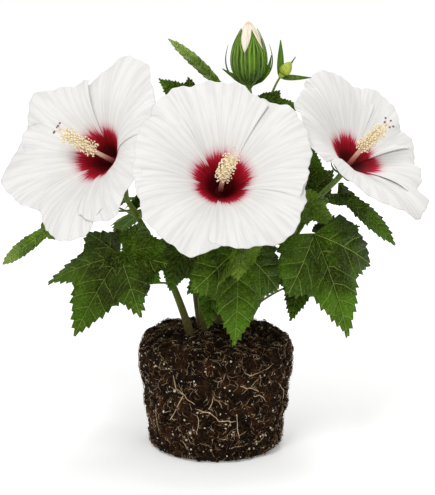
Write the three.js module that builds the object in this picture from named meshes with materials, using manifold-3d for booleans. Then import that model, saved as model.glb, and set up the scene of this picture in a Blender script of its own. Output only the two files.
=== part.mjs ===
// A young hibiscus lifted from its container and standing on its root ball: five green stems with palmate
// leaves, three open white blooms as wide as a dinner plate, a large bud about to open and small buds.
// Millimetres, +Z up. The origin is at the centre of the root ball's flat underside, and -Y is the front.

import * as THREE from "three";
import { mergeVertices } from "three/addons/utils/BufferGeometryUtils.js";
import Module from "manifold-3d";

const wasm = await Module();
wasm.setup();

// Driving dimensions
const GAP = 0.3; // clearance between two pieces that touch
const FINEST = 0.02; // joined solids have no detail smaller than this
const BALL = { height: 133, topRadius: 87, baseRadius: 75, rounding: 10, dome: 6, lumps: 1.6, sides: 24 };
const SUNK = 14; // depth of each stem's foot below the top of the root ball
const STEM_SIDES = 6;
const STEM_STEPS = 4;
const SPACING = 360 / 5; // five petals, five sepals

// Each stem is a curve from its foot, towards a bend, to its tip, with its radius at both ends.
const STEMS = {
  left: { foot: [-25, -20], bend: [-44, -14, 196], tip: [-97, 8, 277], radii: [4.6, 2.9] },
  centre: { foot: [-9, -6], bend: [-27, -12, 190], tip: [-6, -8, 250], radii: [3.8, 2.8] },
  right: { foot: [22, -2], bend: [52, 4, 172], tip: [105, 14, 268], radii: [4.4, 2.9] },
  back: { foot: [2, 16], bend: [14, 34, 250], tip: [38, 34, 388], radii: [4.4, 2.6] },
  rear: { foot: [-16, 14], bend: [-30, 60, 190], tip: [-36, 84, 292], radii: [3.8, 2.2] },
};

// Margins of the leaf shapes: lobes by their angle from the midrib, length as a share of the blade's, spread,
// and the share of the lobe that is a drawn-out tip; the round body between them; and how far round the stalk
// the blade reaches.
const LEAVES = {
  lobed: {
    lobes: [[0, 1, 44, 0.26], [46, 0.8, 34, 0.26], [104, 0.5, 40, 0.2]], body: 0.42, round: 152, parts: 2,
  },
  heart: { lobes: [[0, 1, 42, 0.26], [50, 0.66, 44, 0.06]], body: 0.42, round: 104, parts: 2 },
  round: {
    lobes: [[0, 1, 46, 0.16], [50, 0.86, 44, 0.1], [100, 0.7, 40, 0.06]], body: 0.5, round: 150, parts: 2,
  },
  ternate: { lobes: [[0, 1, 42, 0.28], [48, 0.62, 38, 0.22]], body: 0.44, round: 142, parts: 2 },
  narrow: { lobes: [[0, 1, 26, 0.2]], body: 0.2, round: 122, parts: 5 },
  lance: { lobes: [[0, 1, 14, 0.3]], body: 0.17, round: 110, parts: 5 },
};
const LEAF = {
  blend: 5, drawn: 8, tooth: 0.035, thick: 0.013, least: 1.1, fold: 0.2, wave: 0.03, small: 66,
};
const STALK = { radius: 1.35, tipRadius: 0.95, sides: 4, steps: 2, sunk: 1.5 };

// Masses of foliage: the stretch of stem that each one grows on, and the leaves that show. A leaf leaves the
// stem at a share of its length; its stalk and blade point to a turn and rise, and the blade faces a turn.
const MASSES = {
  leaves_left_low: {
    stem: "left", from: 0.3, to: 0.7, fill: { count: 2, towards: 195 }, leaves: [
      { at: 0.6, stalk: [34, 30, 52], blade: [-54, -67], faces: -30, length: 50, shape: "round", bow: 14 },
      { at: 0.45, stalk: [-62, 5, 40], blade: [-57, -36], faces: -11, length: 30, shape: "ternate", bow: 20 },
    ],
  },
  leaves_left_high: {
    stem: "left", from: 0.7, to: 1, fill: { count: 2, towards: 235 }, leaves: [
      { at: 0.8, stalk: [-23, -9, 68], blade: [-42, -47], faces: -22, length: 104, shape: "lobed", bow: 24 },
      { at: 0.74, stalk: [-23, 3, 69], blade: [71, -37], faces: -12, length: 52, shape: "round", bow: 20 },
      { at: 0.95, stalk: [-95, -12, 92], blade: [-118, -36], faces: 5, length: 92, shape: "lance", bow: 24 },
    ],
  },
  leaves_front: {
    stem: "centre", from: 0.42, to: 1, fill: { count: 1, towards: 170 }, leaves: [
      { at: 0.85, stalk: [24, 12, 88], blade: [-14, -80], faces: 34, length: 107, shape: "heart", bow: 16 },
      { at: 0.95, stalk: [22, 5, 96], blade: [-82, -50], faces: -52, length: 67, shape: "ternate", bow: 20 },
      { at: 0.6, stalk: [20, 18, 52], blade: [-18, -67], faces: -19, length: 65, shape: "ternate", bow: 14 },
    ],
  },
  leaves_right_low: {
    stem: "right", from: 0.3, to: 0.68, fill: { count: 2, towards: 160 }, leaves: [
      { at: 0.5, stalk: [57, 30, 56], blade: [-40, -66], faces: -10, length: 62, shape: "ternate", bow: 12 },
      { at: 0.62, stalk: [97, 34, 65], blade: [90, 17], faces: 20, length: 42, shape: "ternate", bow: 20 },
    ],
  },
  leaves_right_high: {
    stem: "right", from: 0.68, to: 1, fill: { count: 2, towards: 150 }, leaves: [
      { at: 0.74, stalk: [28, 29, 69], blade: [61, -70], faces: 34, length: 120, shape: "heart", bow: 22 },
      { at: 0.9, stalk: [74, 44, 58], blade: [68, -37], faces: 42, length: 86, shape: "narrow", bow: 22 },
      { at: 0.96, stalk: [160, 50, 32], blade: [-170, 81], faces: 4, length: 55, shape: "ternate", bow: -10 },
      { at: 0.93, stalk: [75, 46, 37], blade: [68, -8], faces: 30, length: 27, shape: "narrow", bow: 10 },
      { at: 0.84, stalk: [30, 63, 47], blade: [64, -32], faces: 10, length: 43, shape: "ternate", bow: 12 },
    ],
  },
  leaves_back: {
    stem: "back", from: 0.16, to: 0.5, fill: { count: 3, towards: 148 }, leaves: [],
  },
  leaves_top: {
    stem: "back", from: 0.5, to: 1, fill: { count: 3, towards: 170 }, leaves: [
      { at: 0.95, stalk: [-107, 39, 27], blade: [-119, 37], faces: 30, length: 101, shape: "lance", bow: 16 },
      { at: 0.8, stalk: [-101, 41, 76], blade: [-84, 38], faces: -10, length: 47, shape: "ternate", bow: 12 },
      { at: 0.78, stalk: [58, 62, 60], blade: [74, 6], faces: 0, length: 45, shape: "ternate", bow: 12 },
    ],
  },
  leaves_rear: {
    stem: "rear", from: 0.3, to: 1, fill: { count: 4, towards: 190 }, leaves: [],
  },
};
// Leaves out of sight grow by a rule: each one a golden turn on from the last, in a fan about one direction.
const FILL = {
  seed: 7, golden: 137.5, fan: 150, tries: 3, rise: [16, 34], stalk: [34, 58], drop: [-56, -22],
  length: [62, 96], bow: [18, 40],
};

// Each bloom: the bottom of its throat, the way it faces, its radius, the depth of its funnel and how slowly
// it flares, how far its column leans to the right and up, and for each petal its turn about the axis, half of
// its spread and the radii of its rim from its right side round to its left.
const BLOOMS = {
  left: {
    stem: "left", throat: [-113, 24, 321], faces: -43, rise: 26,
    radius: 105, depth: 62, flare: 46, lean: [-25.5, 10],
    petals: [
      [68, 52, [95, 113, 114, 88, 72]], [158, 50, [80, 85, 108, 93, 76]], [210, 48, [80, 98, 115.5, 97, 78]],
      [285, 50, [76, 96, 109, 92, 80]], [345, 55, [80, 108, 100, 100, 95]],
    ],
  },
  centre: {
    stem: "centre", throat: [5, -60, 304], faces: 4, rise: 40,
    radius: 98, depth: 60, flare: 46, lean: [9.5, 5],
    petals: [
      [105, 50, [90, 100, 105, 103, 90]], [172, 48, [88, 98, 93.5, 95.5, 90]],
      [228, 46, [85, 98.5, 106.5, 108, 82]], [305, 48, [88, 99, 104.5, 95, 86]], [22, 48, [86, 90, 99, 101, 92]],
    ],
  },
  right: {
    stem: "right", throat: [146, 8, 319], faces: 51, rise: 51,
    radius: 96, depth: 45, flare: 80, lean: [1.5, -5.5],
    petals: [
      [30, 46, [70, 78, 108, 95, 80]], [82, 48, [85, 98.5, 105, 91, 86]], [140, 48, [85, 90, 88, 87, 85]],
      [240, 50, [88, 94, 119, 107, 76]], [320, 52, [74, 75.5, 71.5, 80, 82]],
    ],
  },
};
const PETAL = {
  throat: 6, lap: 1.3, ruffle: 3, waves: 2.3, calm: 0.7, recurve: 5, thick: 1.4, columns: 8, rows: 3,
};
const PLUG = { radius: 7.5, above: 1.5, below: 3 };
const COLUMN = {
  length: 68, radius: 3, tipRadius: 1.4,
  from: 0.34, to: 0.92, anthers: 10, brush: 8.5, anther: 1.8, filament: 0.7,
  styles: { count: 5, from: 0.985, spread: 5, length: 8, head: 1.3 },
};
const CALYX = {
  below: 8, reach: 30, half: 34, receptacle: 6.5, foot: 3.4, depth: 14, thick: 1.2,
  bracts: { count: 8, radius: 1.3, below: 11.5, spread: 15, out: 25, up: 14, swing: 0 },
};

// Buds: foot of the bud, the way it points, its length and greatest radius, how many slim bracts it has and how
// high they reach, and its leafy bracts: where they begin, by the distance from the axis and the height, and each
// one's turn, bend and tip.
const BUDS = {
  large: {
    stem: "back", at: 1, foot: [37, 34, 410], points: [-90, 89], length: 66, radius: 19.5,
    ring: 6, bracts: 46, from: [5, -1.5], leafy: [[80, [22, 2], [25, 29]], [275, [17, 5], [30, 15]]],
  },
  small: {
    stem: "back", at: 0.93, foot: [73, 28, 418], points: [90, 55], length: 17, radius: 7,
    ring: 0, bracts: 0, from: [1, -2.8],
    leafy: [[90, [12, 14], [23.5, 30.5]], [350, [9, 8], [12, 24]], [270, [14, 5], [28.5, 16]]],
  },
  side: {
    stem: "left", at: 0.9, foot: [-76, -8, 276], points: [40, 76], length: 18, radius: 4.4,
    ring: 6, bracts: 20, from: [0, 0], leafy: [],
  },
};
const BUD = {
  sepalThick: 1.3, sepalHalf: 35, sepalClear: 1.2, closed: 0.86, turn: 20, sides: 12, rings: 7, taper: 0.1,
  cup: { depth: 8, foot: 2.6, receptacle: 6.5 }, stalk: { below: 5, radius: 2.1, smallFoot: 2 },
  bracts: { radius: 1.2, spread: 1.8, out: 1.16, swing: 0.25 },
  leafy: { width: 0.1, base: 0.12, end: 0.97, swell: 0.7, roll: 65, crease: 0.3, thick: 1.1 },
  open: 0.5, // share of a sepal below which it is as wide as its neighbours allow
  small: { size: 0.55, sides: 8, rings: 5, into: 2 },
};

const UP = new THREE.Vector3(0, 0, 1);
const SECTION = new THREE.Vector3(0.3, 1, 0.1); // no limb runs this way, so no limb's sections twist
const radians = THREE.MathUtils.degToRad;
const lerp = THREE.MathUtils.lerp;
const vector = (place) => new THREE.Vector3(...place);

// The direction with a turn from the front, positive to the right, and a rise above level, in degrees.
function heading(turn, rise) {
  const a = radians(turn);
  const e = radians(rise);
  return new THREE.Vector3(Math.sin(a) * Math.cos(e), -Math.cos(a) * Math.cos(e), Math.sin(e));
}

// A closed geometry as a solid: equal points are merged and collapsed faces left out.
function solidOf(geometry) {
  const loose = geometry.index ? geometry.toNonIndexed() : geometry;
  const bare = new THREE.BufferGeometry().setAttribute("position", loose.getAttribute("position"));
  const merged = mergeVertices(bare, 1e-3);
  const corners = merged.index.array;
  const kept = [];
  for (let i = 0; i < corners.length; i += 3) {
    const [a, b, c] = corners.slice(i, i + 3);
    if (a !== b && b !== c && c !== a) kept.push(a, b, c);
  }
  return new wasm.Manifold(
    new wasm.Mesh({
      numProp: 3,
      vertProperties: merged.getAttribute("position").array,
      triVerts: new Uint32Array(kept),
    }),
  );
}

function geometryOf(solid) {
  const mesh = solid.getMesh();
  const places = new Float32Array(mesh.numVert * 3);
  for (let i = 0; i < mesh.numVert; i++) {
    places.set(mesh.vertProperties.subarray(i * mesh.numProp, i * mesh.numProp + 3), i * 3);
  }
  const geometry = new THREE.BufferGeometry();
  geometry.setAttribute("position", new THREE.BufferAttribute(places, 3));
  geometry.setIndex(new THREE.BufferAttribute(mesh.triVerts, 1));
  geometry.computeVertexNormals();
  return geometry;
}

// All solids joined, without the slivers and loose scraps that a join can leave.
function joined(solids) {
  const whole = solids.reduce((a, b) => a.add(b)).simplify(FINEST);
  return whole.decompose().reduce((a, b) => (a.volume() > b.volume() ? a : b));
}

// Moves every point of a geometry by a rule.
function bent(geometry, rule) {
  const places = geometry.getAttribute("position");
  const p = new THREE.Vector3();
  for (let i = 0; i < places.count; i++) {
    p.fromBufferAttribute(places, i);
    const to = rule(p);
    places.setXYZ(i, to.x, to.y, to.z);
  }
  return geometry;
}

// A round limb along a curve between two shares of its length, tapering evenly from end to end of the curve.
function limb(curve, radii, from, to, sides, steps) {
  const radius = (t) => lerp(radii[0], radii[1], t);
  const rod = new THREE.CylinderGeometry(1, 1, 1, sides, steps);
  return solidOf(
    bent(rod, (p) => {
      const t = lerp(from, to, p.y + 0.5);
      const along = curve.getTangent(t);
      const side = new THREE.Vector3().crossVectors(along, SECTION).normalize();
      const other = new THREE.Vector3().crossVectors(along, side);
      return curve
        .getPoint(t)
        .addScaledVector(side, p.x * radius(t))
        .addScaledVector(other, -p.z * radius(t));
    }),
  );
}

// A thin closed blade over a surface: a flat box whose faces follow place(u, v), u from -1 to 1 across and v
// from 0 to 1 along.
function blade(place, columns, rows, thick) {
  const step = 1e-3;
  const normal = (u, v) => {
    const w = Math.max(v, 0.02);
    const across = place(u + step, w).sub(place(u - step, w));
    const along = place(u, w + step).sub(place(u, w - step));
    return across.cross(along).normalize();
  };
  return solidOf(
    bent(new THREE.BoxGeometry(2, 1, 1, columns, rows, 1), (p) => {
      const v = p.y + 0.5;
      return place(p.x, v).addScaledVector(v === 0 ? normal(0, 0) : normal(p.x, v), p.z * thick);
    }),
  );
}

// Stems

function stemCurve(name) {
  const { foot, bend, tip } = STEMS[name];
  const bottom = new THREE.Vector3(foot[0], foot[1], BALL.height - SUNK);
  return new THREE.QuadraticBezierCurve3(bottom, vector(bend), vector(tip));
}

// A stretch of a stem between two shares of its length, drawn in at both ends by half the clearance.
function stretch(name, from, to) {
  const curve = stemCurve(name);
  const share = GAP / 2 / curve.getLength();
  return limb(curve, STEMS[name].radii, from + share, to - share, STEM_SIDES, STEM_STEPS);
}

// The bare foot of a stem, below its first mass of leaves.
function stem(name) {
  const masses = Object.values(MASSES).filter((mass) => mass.stem === name);
  return stretch(name, 0, Math.min(...masses.map((mass) => mass.from)));
}

// The hole that a stem's foot fills in the root ball, wider by the clearance.
function socket(name) {
  const radii = STEMS[name].radii.map((r) => r + GAP);
  return limb(stemCurve(name), radii, 0, 0.3, STEM_SIDES, STEM_STEPS);
}

// Root ball: a round plug a little wider at the top, with a domed, lumpy top and a flat underside.

function lumps(p) {
  return Math.sin(p.x / 9 + 1.3) * Math.cos(p.y / 8 - 0.4) + Math.sin(p.z / 7 + p.x / 13 + 0.7) * 0.6;
}

function rootBall() {
  const { height, topRadius, baseRadius, rounding, dome, sides } = BALL;
  const corner = (x, y, r, from, to) =>
    [0, 0.5, 1].map((s) => {
      const a = radians(lerp(from, to, s));
      return new THREE.Vector2(x + r * Math.cos(a), y + r * Math.sin(a));
    });
  const wall = [0.2, 0.4, 0.6, 0.8].map(
    (s) => new THREE.Vector2(lerp(baseRadius, topRadius, s), lerp(rounding, height - 2 * rounding, s)),
  );
  const profile = [
    new THREE.Vector2(0, 0),
    ...corner(baseRadius - rounding, rounding, rounding, -90, 0),
    ...wall,
    ...corner(topRadius - 1.6 * rounding, height - dome - 1.6 * rounding, 1.6 * rounding, 0, 90),
    new THREE.Vector2(topRadius * 0.5, height - dome * 0.4),
    new THREE.Vector2(0, height),
  ];
  const plug = new THREE.LatheGeometry(profile, sides).rotateX(Math.PI / 2);
  const lumpy = bent(plug, (p) => {
    const outward = new THREE.Vector3(p.x / topRadius, p.y / topRadius, p.z > height - 2 * dome ? 1 : 0);
    const share = p.z > 1 ? BALL.lumps : 0;
    return p.clone().addScaledVector(outward, share * lumps(p));
  });
  return Object.keys(STEMS).reduce((ball, name) => ball.subtract(socket(name)), solidOf(lumpy));
}

// Leaves

// How far the margin lies from the stalk's end, at an angle from the midrib, as a share of the length.
function marginReach(shape, angle) {
  const { lobes, body } = LEAVES[shape];
  const off = Math.abs(angle);
  const terms = lobes.map(([at, length, spread, drawn]) => {
    const away = Math.abs(off - at);
    return length * ((1 - drawn) * Math.exp(-((away / spread) ** 2)) + drawn * Math.exp(-away / LEAF.drawn));
  });
  const round = body * (1 - 0.25 * (off / 180) ** 2);
  return [...terms, round].reduce((sum, t) => sum + t ** LEAF.blend, 0) ** (1 / LEAF.blend);
}

// The angles where the margin is sampled: each lobe's tip, the notches between, and even steps in between.
function marginAngles(shape) {
  const { lobes, round, parts } = LEAVES[shape];
  const tips = lobes.map(([at]) => at);
  const keys = [];
  tips.forEach((at, i) => {
    keys.push(at);
    if (i + 1 < tips.length) keys.push((at + tips[i + 1]) / 2);
  });
  keys.push(round);
  const half = keys.slice(1).flatMap((key, i) => {
    return Array.from({ length: parts }, (_, j) => lerp(keys[i], key, (j + 1) / parts));
  });
  return [...half.map((a) => -a).reverse(), 0, ...half];
}

function leafBlade(leaf, base) {
  const { shape, length, bow } = leaf;
  const along = heading(...leaf.blade);
  const face = heading(leaf.faces, 25);
  const across = new THREE.Vector3().crossVectors(face, along).normalize();
  const over = new THREE.Vector3().crossVectors(along, across);
  const angles = marginAngles(shape);
  const last = angles.length - 1;
  const turn = radians(bow) / length;
  const lift = radians(bow) / 2;
  const place = (u, v) => {
    const s = THREE.MathUtils.clamp(((u + 1) / 2) * last, 0, last);
    const i = Math.min(Math.floor(s), last - 1);
    const angle = lerp(angles[i], angles[i + 1], s - i);
    const tooth = Math.abs((((s % 2) + 2) % 2) - 1) * 2 - 1;
    const reach = marginReach(shape, angle) * length * (1 + (v > 0.9 ? LEAF.tooth * tooth : 0));
    const r = Math.max(v, 0) ** 0.9 * reach;
    const x = r * Math.cos(radians(angle));
    const y = r * Math.sin(radians(angle));
    const crease = LEAF.fold * Math.abs(y) * (1 - 0.4 * v) - (0.35 * y * y) / length;
    const wave = LEAF.wave * length * v * v * Math.sin(radians(angle * 5) + length);
    const forth = Math.sin(turn * x) / turn;
    const down = (1 - Math.cos(turn * x)) / turn - crease - wave;
    return base
      .clone()
      .addScaledVector(along, forth * Math.cos(lift) + down * Math.sin(lift))
      .addScaledVector(over, forth * Math.sin(lift) - down * Math.cos(lift))
      .addScaledVector(across, y);
  };
  return blade(place, last, length < LEAF.small ? 1 : 2, Math.max(LEAF.least, LEAF.thick * length));
}

function leafSolids(curve, leaf) {
  const root = curve.getPoint(leaf.at);
  const [turn, rise, length] = leaf.stalk;
  const base = root.clone().addScaledVector(heading(turn, rise), length);
  const middle = root.clone().lerp(base, 0.55).addScaledVector(UP, 0.1 * length);
  const end = base.clone().addScaledVector(heading(...leaf.blade), STALK.sunk);
  const hang = new THREE.QuadraticBezierCurve3(root, middle, end);
  const stalk = limb(hang, [STALK.radius, STALK.tipRadius], 0, 1, STALK.sides, STALK.steps);
  return [stalk, leafBlade(leaf, base)];
}

// Repeatable numbers between 0 and 1.
function seeded(seed) {
  let state = seed;
  return () => {
    state = (state * 1664525 + 1013904223) % 2 ** 32;
    return state / 2 ** 32;
  };
}

// Leaves that a mass grows out of sight, each a golden turn on from the last.
function fillLeaves(name) {
  const { from, to, fill } = MASSES[name];
  const random = seeded(FILL.seed + name.length);
  const between = ([low, high]) => lerp(low, high, random());
  return Array.from({ length: fill.count * FILL.tries }, (_, i) => {
    const turn = fill.towards + (((i * FILL.golden) / 360) % 1 - 0.5) * FILL.fan;
    return {
      at: lerp(from, to, 0.12 + (0.8 * ((i * 2) % (2 * fill.count - 1))) / (2 * fill.count - 1)),
      stalk: [turn, between(FILL.rise), between(FILL.stalk)],
      blade: [turn + lerp(-12, 12, random()), between(FILL.drop)],
      faces: turn,
      length: between(FILL.length),
      shape: random() < 0.6 ? "lobed" : "ternate",
      bow: between(FILL.bow),
    };
  });
}

// The stretch of stem that a mass grows on, and those of its leaves that show.
function shownSolids(name) {
  const { stem: on, from, to, leaves } = MASSES[name];
  const curve = stemCurve(on);
  return [stretch(on, from, to), ...leaves.flatMap((leaf) => leafSolids(curve, leaf))];
}

// A mass: its stretch of stem and its leaves joined, less the leaves out of sight that would touch anything.
function mass(name, others) {
  const { stem: on, fill } = MASSES[name];
  const curve = stemCurve(on);
  const solids = shownSolids(name);
  let grown = 0;
  for (const leaf of fillLeaves(name)) {
    const made = leafSolids(curve, leaf);
    const touching = [...others, ...solids.slice(1)].some((other) =>
      made.some((solid) => solid.intersect(other).volume() > 0),
    );
    if (touching || grown === fill.count) continue;
    solids.push(...made);
    grown += 1;
  }
  return joined(solids);
}

// Blooms

// The frame of a flower or bud: +Z out along its axis, +X to the right as seen from in front, +Y up its face.
function flowerFrame(place, turn, rise) {
  const axis = heading(turn, rise);
  const right = new THREE.Vector3().crossVectors(UP, axis).normalize();
  const up = new THREE.Vector3().crossVectors(axis, right);
  const frame = new THREE.Group();
  frame.position.set(...place);
  frame.quaternion.setFromRotationMatrix(new THREE.Matrix4().makeBasis(right, up, axis));
  frame.updateMatrixWorld();
  return frame;
}

// A point in a flower's frame, by its distance from the axis, its angle about it and its height.
function polar(radius, angle, height) {
  return new THREE.Vector3(radius * Math.cos(angle), radius * Math.sin(angle), height);
}

// Height of the open funnel above the bottom of the throat, at a distance from its axis.
function funnel(bloom, distance) {
  const rise = (r) => 1 - Math.exp(-(r - PETAL.throat) / bloom.flare);
  return (bloom.depth * rise(distance)) / rise(bloom.radius);
}

// A petal's right side lies in front of its neighbour, and its ruffles calm down towards its sides.
function petal(bloom, number) {
  const [turn, half, radii] = bloom.petals[number];
  const rim = new THREE.SplineCurve(radii.map((radius, i) => new THREE.Vector2(i, radius)));
  const place = (u, v) => {
    const across = THREE.MathUtils.clamp((u + 1) / 2, 0, 1);
    const radius = lerp(PETAL.throat, rim.getPoint(across).y, v);
    const ruffle = PETAL.ruffle * Math.abs(v) ** 3 * (1 - PETAL.calm * Math.abs(u) ** 3);
    const wave = Math.sin(PETAL.waves * Math.PI * u + number * 2.4 + turn) * ruffle;
    const height = funnel(bloom, radius) - PETAL.lap * u * v + wave - PETAL.recurve * v ** 6;
    return polar(radius, radians(turn + half * u), height);
  };
  return blade(place, PETAL.columns, PETAL.rows, PETAL.thick);
}

function corolla(bloom) {
  const petals = bloom.petals.map((_, number) => petal(bloom, number));
  const axis = new THREE.LineCurve3(polar(0, 0, -PLUG.below), polar(0, 0, PLUG.above));
  const plug = limb(axis, [PLUG.radius, PLUG.radius], 0, 1, 12, 1);
  return joined([plug, ...petals]);
}

// The staminal column: a tube that leans as it rises, its brush of anthers and the short styles at its tip.
function column(bloom) {
  const { length, radius, tipRadius, from, to, anthers, brush, anther, filament, styles } = COLUMN;
  const base = polar(0, 0, PLUG.above + GAP);
  const tip = new THREE.Vector3(...bloom.lean, length);
  const curve = new THREE.QuadraticBezierCurve3(base, polar(0, 0, length * 0.55), tip);
  const solids = [limb(curve, [radius, tipRadius], 0, 1, 6, 4)];
  // A slim peg that widens from its foot on the tube to its head, which lies out and ahead of the foot.
  const peg = (t, angle, out, ahead, head) => {
    const along = curve.getTangent(t);
    const side = new THREE.Vector3().crossVectors(along, SECTION).normalize();
    const foot = curve.getPoint(t);
    side.applyAxisAngle(along, angle);
    const end = foot.clone().addScaledVector(side, out).addScaledVector(along, ahead);
    solids.push(limb(new THREE.LineCurve3(foot, end), [filament, head], 0, 1, 3, 1));
  };
  for (let i = 0; i < anthers; i++) {
    peg(lerp(from, to, i / (anthers - 1)), i * 2.4, brush, 1.5, anther);
  }
  for (let i = 0; i < styles.count; i++) {
    peg(styles.from, (i * 2 * Math.PI) / styles.count, styles.spread, styles.length, styles.head);
  }
  return joined(solids);
}

// A ring of slim bracts that grow from a receptacle and curve up round what they hold, the later the more swing.
function bractRing({ count, radius, below, spread, out, up, swing }) {
  return Array.from({ length: count }, (_, i) => {
    const angle = radians((360 / count) * (i + 0.4));
    const curve = new THREE.QuadraticBezierCurve3(
      polar(2 * radius, angle, -below),
      polar(spread, angle, swing * up - below),
      polar(out, angle, up - below),
    );
    return limb(curve, [radius, 0.4], 0, 1, 3, 2);
  });
}

// The stalk of a bloom or bud in its frame, swinging round to its axis: from the tip of a stem, or from its
// side at a share of its length.
function stalkCurve(frame, stemName, below, at) {
  const curve = stemCurve(stemName);
  const foot = polar(0, 0, -below);
  const start = curve.getPoint(at);
  const along = curve.getTangent(at);
  const sideways = frame.localToWorld(foot.clone()).sub(start).projectOnPlane(along).normalize();
  const [low, high] = STEMS[stemName].radii;
  const ahead = at < 1 ? sideways : along;
  start.addScaledVector(ahead, at < 1 ? lerp(low, high, at) + GAP : GAP / 2);
  frame.worldToLocal(start);
  ahead.transformDirection(frame.matrixWorld.clone().invert());
  const knee = start.distanceTo(foot) * 0.4;
  const bend = start.clone().addScaledVector(ahead, knee);
  return new THREE.CubicBezierCurve3(start, bend, polar(0, 0, -below - knee), foot);
}

function calyx(bloom, frame) {
  const { below, reach, half, receptacle, foot, depth, thick, bracts } = CALYX;
  const neck = new THREE.LineCurve3(polar(0, 0, -depth), polar(0, 0, -PLUG.below - GAP));
  const cup = limb(neck, [foot, receptacle], 0, 1, 8, 1);
  const sepals = bloom.petals.map(([turn]) => {
    const middle = radians(turn + SPACING / 2);
    const place = (u, v) => {
      const radius = lerp(receptacle - 2, reach, v);
      const width = radians(half) * (1 - Math.max(v, 0) ** 2 * 0.96);
      const height = funnel(bloom, Math.max(radius, PETAL.throat)) - below - 2.5 * v;
      return polar(radius, middle + width * u, height);
    };
    return blade(place, 2, 3, thick);
  });
  const curve = stalkCurve(frame, bloom.stem, depth - 1, 1);
  const stalk = limb(curve, [STEMS[bloom.stem].radii[1], foot], 0, 1, 6, 4);
  return joined([stalk, cup, ...sepals, ...bractRing(bracts)]);
}

// Buds

// Radius of the egg-shaped bud at a share of its length: fullest near the middle, drawn to a point.
function eggRadius(bud, share) {
  const s = THREE.MathUtils.clamp(share, 0, 1);
  return bud.radius * Math.sin(Math.PI * s ** 0.72) ** 0.62 * (1 - BUD.taper * s);
}

// An egg on the bud's axis, from a little above the receptacle to its tip.
function egg(bud, sides, rise) {
  const profile = Array.from({ length: rise + 1 }, (_, i) => {
    const share = i / rise;
    return new THREE.Vector2(i % rise ? eggRadius(bud, share) : 0, share * bud.length);
  });
  return solidOf(new THREE.LatheGeometry(profile, sides).rotateX(Math.PI / 2).translate(0, 0, GAP));
}

// A sepal of the large bud, closed over its petals.
function budSepal(bud, middle) {
  const { sepalThick, sepalHalf, sepalClear, closed, open } = BUD;
  const place = (u, v) => {
    const share = v * closed;
    const width = radians(sepalHalf) * (1 - 0.97 * Math.max(0, (v - open) / (1 - open)) ** 0.9);
    const radius = Math.max(eggRadius(bud, share), 3 * (1 - v)) + GAP + sepalThick / 2 + sepalClear;
    return polar(radius, middle + width * u, share * bud.length - 0.9 * (1 - v));
  };
  return blade(place, 2, 5, sepalThick);
}

// A pointed leafy bract along a curve from a bud's foot, rolled about its length and creased along its middle.
function leafyBract(from, [turn, bend, tip]) {
  const { width, base, end, swell, roll, crease, thick } = BUD.leafy;
  const angle = radians(turn);
  const [start, middle, head] = [from, bend, tip].map(([out, up]) => polar(out, angle, up));
  const curve = new THREE.QuadraticBezierCurve3(start, middle, head);
  const level = polar(1, angle + Math.PI / 2, 0);
  const half = width * start.distanceTo(head);
  const place = (u, v) => {
    const along = curve.getTangent(v);
    const across = level.clone().applyAxisAngle(along, radians(roll));
    const over = new THREE.Vector3().crossVectors(along, across);
    const full = lerp(base, end, THREE.MathUtils.clamp(v, 0, 1) ** swell);
    const side = u * half * Math.sin(Math.PI * full);
    return curve.getPoint(v).addScaledVector(across, side).addScaledVector(over, crease * Math.abs(side));
  };
  return blade(place, 2, 3, thick);
}

// The green cup under a bud: its stalk and receptacle, the sepals that close over the petals, and a ring of
// slim bracts. A small bud is still shut, and its sepals are one green egg.
function budCup(bud, frame) {
  const { cup, stalk, bracts, small } = BUD;
  const large = bud === BUDS.large;
  const size = large ? 1 : small.size;
  const neck = new THREE.LineCurve3(polar(0, 0, -cup.depth * size), polar(0, 0, large ? 0 : small.into));
  const turns = Array.from({ length: 5 }, (_, i) => radians(SPACING * i + BUD.turn));
  const cover = large ? turns.map((turn) => budSepal(bud, turn)) : [egg(bud, small.sides, small.rings)];
  const below = stalk.below * size;
  const ring = {
    count: bud.ring, radius: bracts.radius * size, below, spread: bud.radius * bracts.spread,
    out: bud.radius * bracts.out, up: bud.bracts, swing: bracts.swing,
  };
  const curve = stalkCurve(frame, bud.stem, below, bud.at);
  const root = large ? STEMS[bud.stem].radii[1] : stalk.smallFoot;
  return joined([
    limb(neck, [cup.foot * size, cup.receptacle * size], 0, 1, 8, 1),
    limb(curve, [root, stalk.radius * size], 0, 1, 6, 4),
    ...cover,
    ...bractRing(ring),
    ...bud.leafy.map((bract) => leafyBract(bud.from, bract)),
  ]);
}

// Materials, one for each kind of surface
const material = (color, roughness) => new THREE.MeshStandardMaterial({ color, roughness, metalness: 0 });
const peat = material(0x3a2a1c, 0.95);
const greenBark = material(0x76803c, 0.6);
const leafGreen = material(0x2f5a1f, 0.5);
const petalWhite = material(0xf4f3f0, 0.6);
const anthers = material(0xf3e3a8, 0.7);
const calyxGreen = material(0x6b8f35, 0.55);

const plant = new THREE.Group();
const built = new Map(); // every solid so far, in the plant's frame, which no further leaf may touch
function add(name, solid, finish, parent) {
  const mesh = new THREE.Mesh(geometryOf(solid), finish);
  mesh.name = name;
  parent.add(mesh);
  built.set(name, solid.transform(parent.matrixWorld.elements));
}

add("root_ball", rootBall(), peat, plant);
const stems = new THREE.Group();
for (const name of Object.keys(STEMS)) add(`stem_${name}`, stem(name), greenBark, stems);
plant.add(stems);

for (const [name, bloom] of Object.entries(BLOOMS)) {
  const frame = flowerFrame(bloom.throat, bloom.faces, bloom.rise);
  add(`petals_${name}`, corolla(bloom), petalWhite, frame);
  add(`column_${name}`, column(bloom), anthers, frame);
  add(`calyx_${name}`, calyx(bloom, frame), calyxGreen, frame);
  plant.add(frame);
}
for (const [name, bud] of Object.entries(BUDS)) {
  const frame = flowerFrame(bud.foot, ...bud.points);
  if (bud === BUDS.large) add("bud_large_petals", egg(bud, BUD.sides, BUD.rings), petalWhite, frame);
  add(`bud_${name}_calyx`, budCup(bud, frame), calyxGreen, frame);
  plant.add(frame);
}

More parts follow.
